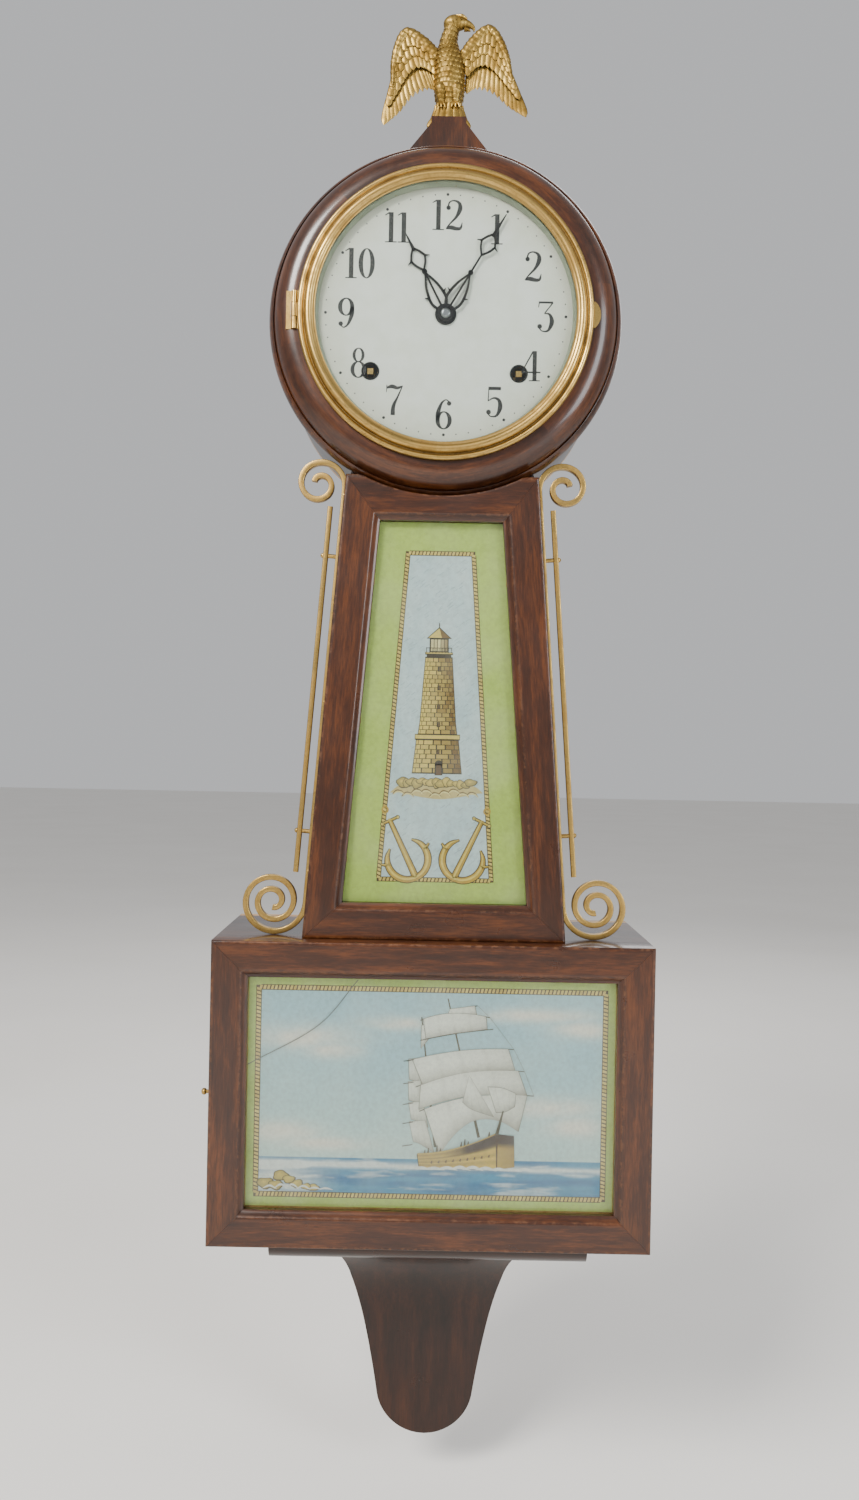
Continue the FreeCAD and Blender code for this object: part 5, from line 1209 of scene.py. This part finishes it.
def ship(tablet):
    """Square-rigged ship under full sail, seen from ahead and a little to one side."""
    spar = paint(88, 78, 50)
    rigging(tablet, spar)
    for k, (high, low) in enumerate(zip(LEE_STEPS[:-1], LEE_STEPS[1:])):
        shift = 1.5 * max(k - 1, 0)
        head = [(-13 + shift / 3, high - 0.5), (-6 + shift, high + 0.5)]
        foot = [(-12.5 + shift, low + 1), (-9 + shift, low), (-5 + 2.5 * shift, low - 2 - shift)]
        sail(tablet, head, foot, 3 + 1.3 * k, 0.93)
    sail(tablet, *SMALL_TOPGALLANT, 8.2, 0.93)
    for k, (head, foot) in enumerate(SQUARE_SAILS.values()):
        sail(tablet, sail_line(*head), sail_line(*foot), 9.6 + 1.3 * k)
    sail(tablet, *OUTER_JIB, 17.2, 0.95)
    sail(tablet, *INNER_JIB, 18.5)
    tablet.line(BOWSPRIT, [0.9, 2.0], 19.6, spar, 4)
    hull(tablet)


STERN, STEM, FORE_END = -7.0, 38.5, 49.0
WAIST, BOW_HEIGHT, KEEL = -35.0, -22.5, -43.0


def sheer_height(x):
    """The deck's edge: low at the stern, and rising faster towards the stem."""
    share = np.clip((np.asarray(x, float) - STERN) / (STEM - STERN), 0, 1)
    return WAIST + (BOW_HEIGHT - WAIST) * share ** 1.8


def hull(tablet):
    """Hull with a dark band above yellow planking, its stem, and the fore part that turns away from it."""
    across, down = np.linspace(0, 1, 31)[:, None], np.linspace(0, 1, 13)[None]
    run = np.linspace(STERN, STEM, 31)
    sheer = np.stack([run, sheer_height(run)], 1)
    keel = np.stack([run + 1.2 * (1 - across[:, 0]), np.full(31, KEEL)], 1)
    flat = sheer[:, None] * (1 - down)[..., None] + keel[:, None] * down[..., None]
    dark = np.clip((0.42 - down) * 9, 0, 1) * np.clip(across * 3 - 0.9, 0, 1)
    planks = 0.45 + 0.3 * np.cos(down * 28) + 0.35 * across ** 2
    tint = shaded_over(shaded(planks, paint(150, 108, 22), paint(240, 206, 90)), dark, paint(62, 34, 12))
    tablet.patch(grown(flat, 0.4), 16.9, paint(54, 34, 12))
    tablet.patch(flat, 18.0, tint)
    side = quad_grid([(STEM, KEEL), (FORE_END, KEEL + 1.5), (FORE_END - 0.5, BOW_HEIGHT - 1),
                      (STEM, BOW_HEIGHT)], 9, 13)
    turning = np.broadcast_to(0.62 - 0.3 * np.linspace(0, 1, 9)[:, None], (9, 13))
    band = np.broadcast_to(np.clip((np.linspace(0, 1, 13)[None] - 0.6) * 9, 0, 1), (9, 13))
    planking = shaded(turning, paint(140, 100, 24), paint(232, 198, 90))
    tablet.patch(side, 18.2, shaded_over(planking, band, paint(66, 38, 14)))
    tablet.line([(STEM, BOW_HEIGHT), (STEM + 0.3, KEEL)], [1.2, 0.7], 18.6, paint(76, 44, 14), 3)
    tablet.line(sheer[::5] + np.array([0.0, 0.3]), 0.6, 18.4, paint(214, 182, 92), 24, True)
    for x in np.linspace(1, 34, 9):
        z = sheer_height(x) * 0.42 + KEEL * 0.58
        tablet.line([(x, z - 0.8), (x + 0.5, z + 0.8)], [1.2, 0.6], 18.6, paint(96, 62, 16), 3)
    for k, x in enumerate((-3, -1, 4, 6, 18, 20, 22, 34)):
        deck = sheer_height(x)
        tablet.line([(x, deck - 0.2), (x + 0.3, deck + 2.4 + k % 3)], [1.3, 0.5], 17.4, paint(92, 80, 52),
                    3)
    for k, x in enumerate(np.linspace(-12, 55, 10)):
        wave = [(x - 6, KEEL - 0.4), (x, KEEL + 0.6 - 0.5 * math.sin(k)), (x + 6, KEEL - 0.8)]
        tablet.line(wave, [0.3, 1.9, 0.3], 19.0 + 0.09 * k, paint(250, 251, 244), 12, True)


ROCKS = [(-94.5, -53.5), (-85.6, -49), (-88.5, -54.5), (-76.5, -53.5), (-81, -51), (-66.6, -55.5),
         (-71, -55.0)]
CRACK = [(-43, 65), (-66, 38), (-106, 15)]


def door_tablet():
    """Ship on a blue sea, rocks at the lower left, and the crack across the upper left of the glass."""
    middle = (DOOR_LOW.z + DOOR_HIGH.z) / 2
    tablet = Tablet("door_glass", (HEAD_X, middle), 22)
    rope_corners = [(-100.2, -59.7), (100.2, -59.7), (100.2, 59.7), (-100.2, 59.7)]
    border_and_field(tablet, DOOR_SIGHT, rope_corners, 2.4)
    sky = quad_grid([(-100.2, HORIZON), (100.2, HORIZON), (100.2, 59.7), (-100.2, 59.7)], 150, 76)
    tablet.patch(sky, 1, sky_tint(sky[..., 0], sky[..., 1]))
    sea = quad_grid([(-100.2, -59.7), (100.2, -59.7), (100.2, HORIZON), (-100.2, HORIZON)], 190, 50)
    tablet.patch(sea, 1, sea_tint(sea[..., 0], sea[..., 1]))
    ship(tablet)
    for k, (x, z) in enumerate(ROCKS):
        boulder(tablet, x, z, 5.2 - 0.35 * k, 3.4 - 0.25 * k, 4 + 0.3 * k, 0.7 + 0.04 * k)
    for k in range(6):
        x = -92 + 6.5 * k
        tablet.line([(x - 4, -56.4), (x, -54.8 + math.sin(k)), (x + 4, -56.6)], [0.3, 1.2, 0.3],
                    7 + 0.3 * k, paint(246, 246, 240), 10, True)
    tablet.line(CRACK, 0.45, 21, paint(96, 92, 78), 40, True)
    tablet.piece.finish("door_painting", TABLET_PAINT, "box_door", "painted_glass")


# ==== eagle =======================================================================================
EAGLE_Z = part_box("finial_plinth")[1].z
EAGLE_Y = (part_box("finial_plinth")[0].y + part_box("finial_plinth")[1].y) / 2


def limb(piece, rows, count=30, sides=24, feather=0.0, pitch=4.0, hollow=0.0):
    """Cast limb: ovals of given half width and half depth carried along a smooth line of (x, y, z), in
    millimetres from the plinth's top. feather raises rows of scales, pitch apart, on the skin."""
    rows = smooth_line(np.asarray(rows, float), count)
    path, wide, deep = rows[:, :3], rows[:, 3], rows[:, 4]
    step = np.gradient(path, axis=0)
    step /= np.linalg.norm(step, axis=1, keepdims=True)
    depth = np.array([0.0, 1.0, 0.0]) - step * step[:, 1:2]
    depth /= np.linalg.norm(depth, axis=1, keepdims=True)
    aside = np.cross(step, depth)
    ring = round_section(sides)
    length = np.concatenate([[0], np.cumsum(np.linalg.norm(np.diff(path, axis=0), axis=1))])
    angle = np.arctan2(ring[:, 1], ring[:, 0])
    band = np.broadcast_to(length[:, None] / pitch, (count, sides))
    across = (angle[None] / TURN * round(TURN * wide.max() / pitch) + 0.5 * (np.floor(band) % 2)) % 1.0
    scale = (1 - band % 1.0) * (1 - 0.75 * (2 * across - 1) ** 2)
    swell = 1 + feather * (scale - 0.4)
    points = (path[:, None] + aside[:, None] * (ring[None, :, :1] * (wide[:, None] * swell)[..., None])
              + depth[:, None] * (ring[None, :, 1:] * (deep[:, None] * swell)[..., None]))
    # painted shade: darker where each scale tucks under the next, added to the shade given for the limb
    shade = hollow + (0.75 * (1 - scale) if feather else 0.0) * np.ones_like(swell)
    piece.tube(points * MM + np.array([HEAD_X, EAGLE_Y, EAGLE_Z]), hollow=shade)


def feather(piece, root, tip, half, y_root, y_tip, thick=0.9, bend=0.0):
    """Long rounded feather: a lens-shaped section whose width swells and closes in a round end, with a
    raised quill down its middle and painted shade at its edges."""
    t = np.linspace(0, 1, 15)
    root, tip = np.asarray(root, float), np.asarray(tip, float)
    run = tip - root
    side = np.array([-run[1], run[0]]) / np.linalg.norm(run)
    flat = root + run * t[:, None] + side * (bend * np.sin(math.pi * t))[:, None]
    width = half * np.minimum(1.0, 0.55 + 1.1 * t) * np.sqrt(np.clip(1 - np.clip((t - 0.8) / 0.2, 0,
            1) ** 2, 0.0004, 1))
    ring = round_section(14)
    quill = 1 + 0.9 * np.exp(-(ring[:, 0] / 0.16) ** 2)
    y = y_root + (y_tip - y_root) * t
    x = flat[:, None] + side * (width[:, None] * ring[None, :, 0])[..., None]
    depth = y[:, None] + ring[None, :, 1] * quill * thick / 2 * (width / half)[:, None]
    edge_shade = np.broadcast_to(0.9 * np.abs(ring[:, 0]) ** 6 + 0.12, depth.shape)
    points = np.stack([x[..., 0], depth, x[..., 1]], -1)
    piece.tube(points * MM + np.array([HEAD_X, EAGLE_Y, EAGLE_Z]), hollow=edge_shade)


def wing(piece, side, arm, tips, coverts):
    """Spread wing: overlapping long feathers from the arm to their tips, two rows of short ones over their
    roots, scaly skin above, and the arm's thick leading edge."""
    arm = np.asarray(arm, float)
    tips = smooth_line(np.asarray(tips, float), 15)
    roots = smooth_line(arm, 40)
    for k, tip in enumerate(tips):
        share = k / (len(tips) - 1)
        root = roots[round(8 + 28 * (1 - share) ** 0.9)] * np.array([0.985, 1.0]) + np.array([-side * 0.8,
                -2.0])
        feather(piece, root, tip, 2.5 - 0.7 * share, 1.2 - 0.12 * k, -1.6 + 0.16 * k, 1.0, side * 0.8)
    for row, (reach, half, count) in enumerate(((0.62, 2.3, 13), (0.42, 2.1, 12), (0.24, 1.9, 11))):
        for k in range(count):
            share = k / (count - 1)
            place = share * (len(tips) - 1)
            tip = np.array([np.interp(place, np.arange(len(tips)), tips[:, axis]) for axis in (0, 1)])
            root = roots[round(8 + 28 * (1 - share) ** 0.9)] + np.array([-side * 0.6, -1.0])
            end = root + (tip - root) * reach
            feather(piece, root, end, half, -0.9 - 0.7 * row - 0.05 * k, -2.4 - 0.5 * row, 1.1)
    rows = [(x, -1.6, z, w, 2.6) for (x, z), w in zip(arm, coverts)]
    limb(piece, rows, 90, 44, 0.16, 3.0)


WING_THICKNESS = (3.0, 4.0, 3.8, 3.2, 2.8, 2.4, 1.4)
SHOULDER, LEFT_WING_TURN = (11.0, 46.0), 11.0


def turned_left(points):
    """Points of the right wing mirrored to the left, and turned down at the shoulder."""
    turn = math.radians(LEFT_WING_TURN)
    rotate = np.array([[math.cos(turn), math.sin(turn)], [-math.sin(turn), math.cos(turn)]])
    mirror = np.array([-1.0, 1.0])
    return (points - np.array(SHOULDER)) * mirror @ rotate + np.array(SHOULDER) * mirror


def eagle():
    """Cast eagle with raised wings, its head turned to the viewer's right, standing on a leafy rock."""
    piece = Piece("hollow")
    limb(piece, [(0, 0, 13.0, 5.0, 4.5), (0, -0.5, 18.0, 8.4, 6.2), (0, -1, 26.0, 9.4, 7.4),
                 (-0.2, -1.6, 36.0, 9.4, 8.0),
                 (-0.6, -1.8, 44.0, 8.8, 7.4), (-1.0, -1.6, 50.0, 7.0, 6.2), (-1.0, -1.8, 55.5, 5.6, 5.2),
                 (0.2, -2.2, 60.5, 4.9, 4.8),
                 (1.4, -2.6, 64.0, 4.6, 4.6)], 170, 96, 0.09, 3.0)
    limb(piece, [(-2.6, -2.6, 62.6, 1.6, 1.6), (-0.6, -2.8, 65.6, 4.4, 4.2), (3.2, -3.0, 66.6, 4.9, 4.3),
                 (7.0, -3.0, 66.4, 4.0, 3.6),
                 (9.8, -3.0, 66.0, 2.7, 2.6), (12.2, -3.0, 65.2, 1.9, 1.9), (14.2, -3.0, 63.6, 1.2, 1.2),
                 (14.6, -3.0, 61.4, 0.3, 0.3)],
         44, 24, 0.03, 2.2)
    # the last argument is painted shade: in the mouth here, and in the eye below
    limb(piece, [(8.6, -3.0, 62.9, 1.5, 1.7), (11.0, -3.0, 62.4, 0.9, 1.2), (12.4, -3.0, 61.6, 0.3, 0.4)],
         10, 12, 0, 4, 0.4)
    limb(piece, [(3.4, -6.0, 69.8, 0.5, 0.5), (7.0, -6.6, 69.0, 1.1, 0.9), (10.2, -5.4, 68.0, 0.4, 0.4)],
         12, 12)
    limb(piece, [(6.6, -6.9, 67.0, 0.2, 0.2), (7.0, -7.1, 67.0, 0.9, 0.6), (7.5, -6.9, 67.0, 0.2, 0.2)], 8,
         12, 0, 4, 0.9)
    arm = np.array([(4.5, 40), (10, 48.5), (17.5, 58.5), (24, 63.5), (30, 57.5), (35, 46), (38.5, 32)])
    tips = np.array([(48, 9.5), (38, 15), (27, 24), (16, 27), (11, 24.5)])
    wing(piece, 1, arm, tips, WING_THICKNESS)
    wing(piece, -1, turned_left(arm), turned_left(tips), WING_THICKNESS)
    for x, z in ((-4.9, 22.5), (3.9, 23.0)):
        limb(piece, [(x, -3.6, z + 7.0, 2.2, 2.0), (x * 1.1, -5.4, z + 2.0, 3.6, 3.6),
                     (x * 1.05, -5.8, z - 3.0, 3.0, 3.0),
                     (x, -5.6, z - 8.0, 1.7, 1.7)], 60, 40, 0.14, 2.6)
        for toe in (-1.8, 0.0, 1.8):
            limb(piece, [(x, -5.6, z - 7.0, 1.1, 1.1), (x + toe, -8.0, z - 9.0, 0.9, 0.9),
                         (x + toe * 1.4, -8.8, z - 11.6, 0.4, 0.4)], 12, 10)
    eagle_base(piece)
    return piece.finish("cast_eagle", GILT, "case", "antique_gilt", ["eagle_finial"], 60)


def eagle_base(piece):
    """Fluted rock that flares to the plinth, ringed with leaves, and a curled leaf at each side."""
    height = np.linspace(0, 1, 26)
    angles = np.linspace(0, TURN, 97)[:-1]
    radius = np.interp(height, [0, 0.12, 0.45, 0.8, 1], [10.4, 9.6, 7.4, 8.4, 6.4])
    flute = 1 + 0.07 * np.cos(12 * angles)[None] * (1 - 0.4 * height)[:, None]
    reach = radius[:, None] * flute
    points = np.stack([reach * np.cos(angles), reach * np.sin(angles) * 0.86,
                       np.broadcast_to(height[:, None] * 17.0, reach.shape)], -1)
    # painted shade: darker down the hollow of each flute
    shade = 0.5 - 0.5 * np.broadcast_to(np.cos(12 * angles), reach.shape)
    piece.tube(points * MM + np.array([HEAD_X, EAGLE_Y, EAGLE_Z]), hollow=shade)
    for k in range(9):
        angle = math.radians(-90 + (k - 4) * 24)
        out = np.array([math.cos(angle), math.sin(angle) * 0.86])
        low, top = out * 10.2, out * 8.2
        # painted shade on each leaf, from the last argument
        limb(piece, [(*(out * 8.0), 2.0, 0.8, 0.6), (*low, 3.6, 2.4, 1.0), (*(out * 8.6), 9.0, 2.6, 1.0),
                     (*(top * 1.0), 13.5, 1.6, 0.8),
                     (*(out * 9.2), 15.6, 0.4, 0.4)], 16, 12, 0, 4, 0.15)
    for side in (-1, 1):
        limb(piece, [(side * 6.4, -2, 9.0, 1.2, 1.0), (side * 9.6, -3, 5.4, 2.4, 1.2),
                     (side * 12.0, -3.6, 1.8, 2.0, 1.1),
                     (side * 12.6, -3.6, 0.6, 0.5, 0.5)], 18, 12, 0, 4, 0.1)


# ==== small brass pins on the strips ==============================================================
def strip_pins():
    """Small round nail heads that hold the strips and rails, two by each spacer."""
    piece = Piece("hollow")
    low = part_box("side_scrolls")[0]
    dome = np.linspace(0, 1, 6)
    angles = np.linspace(0, TURN, 17)[:-1]
    for z in (UPPER_START - 4 * MM, -0.400, -0.300):
        for side in (-1, 1):
            reach = 0.9 * MM * np.sin(dome * math.pi / 2)
            out = 0.5 * MM * np.cos(dome * math.pi / 2)
            x = strip_x(z) * side
            points = np.stack([x + reach[:, None] * np.cos(angles),
                               (low.y + 0.05 * MM - out)[:, None] * np.ones(16),
                               z + reach[:, None] * np.sin(angles)], -1)
            piece.tube(points)
    return piece.finish("strip_pins", BRASS, "case", "brass")


# ==== stage, light and camera =====================================================================
FLOOR_DROP, FLOOR_HALF = 0.035, 12.0


def stage():
    """Pale floor below the clock."""
    piece = Piece()
    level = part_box("bottom_bracket")[0].z - FLOOR_DROP
    wide = FLOOR_HALF
    piece.grid([[(-wide, -wide, level), (-wide, wide, level)], [(wide, -wide, level), (wide, wide, level)]])
    look = Look("pale_floor")
    cloud = look.noise(look.place(), 3.0, 4.0)
    floor_look = look.output(look.surface(look.mix(cloud, paint(226, 222, 216), paint(236, 233, 228)),
                                          cloud * 0.1 + 0.7))
    mesh = bpy.data.meshes.new("floor")
    mesh.from_pydata(np.concatenate(piece.points), [], np.concatenate(piece.quads).tolist())
    mesh.materials.append(floor_look)
    floor = bpy.data.objects.new("floor", mesh)
    bpy.context.scene.collection.objects.link(floor)


def soft_light(name, place, target, size, power, colour):
    light = bpy.data.lights.new(name, "AREA")
    light.shape = "RECTANGLE"
    light.size, light.size_y = size
    light.energy = power
    light.color = colour
    lamp = bpy.data.objects.new(name, light)
    bpy.context.scene.collection.objects.link(lamp)
    lamp.location = place
    run = np.array(target) - np.array(place)
    lamp.rotation_euler = (math.atan2(math.hypot(run[0], run[1]), -run[2]), 0,
                           math.atan2(run[0], -run[1]) + math.pi)


CAMERA_PLACE = (-0.0045, -0.795, -0.3272)
CAMERA_ROLL = math.radians(-1.1)


def light_and_camera():
    world = bpy.data.worlds.new("pale_room")
    bpy.context.scene.world = world
    world.use_nodes = True
    world.node_tree.nodes["Background"].inputs["Color"].default_value = (0.80, 0.81, 0.83, 1.0)
    world.node_tree.nodes["Background"].inputs["Strength"].default_value = 0.7
    soft_light("key", (-1.1, -1.7, 1.0), (0, 0, -0.3), (0.8, 0.8), 92, (1.0, 0.98, 0.94))
    soft_light("fill", (1.4, -1.5, 0.1), (0, 0, -0.35), (0.7, 1.2), 34, (0.9, 0.95, 1.0))
    soft_light("back", (0.4, 1.6, 0.9), (0, 0, -0.3), (1.2, 1.2), 16, (1.0, 1.0, 1.0))
    camera = bpy.data.cameras.new("front_camera")
    camera.lens = 28.8
    camera.sensor_width = 36.0
    holder = bpy.data.objects.new("front_camera", camera)
    bpy.context.scene.collection.objects.link(holder)
    holder.location = CAMERA_PLACE
    holder.rotation_euler = (math.radians(90), CAMERA_ROLL, 0)
    bpy.context.scene.camera = holder


dress_frame()
head_ring()
brass_bezel()
frames()
side_scrolls()
side_rails()
strip_pins()
hands()
dial_printing()
throat_tablet()
door_tablet()
eagle()
stage()
light_and_camera()
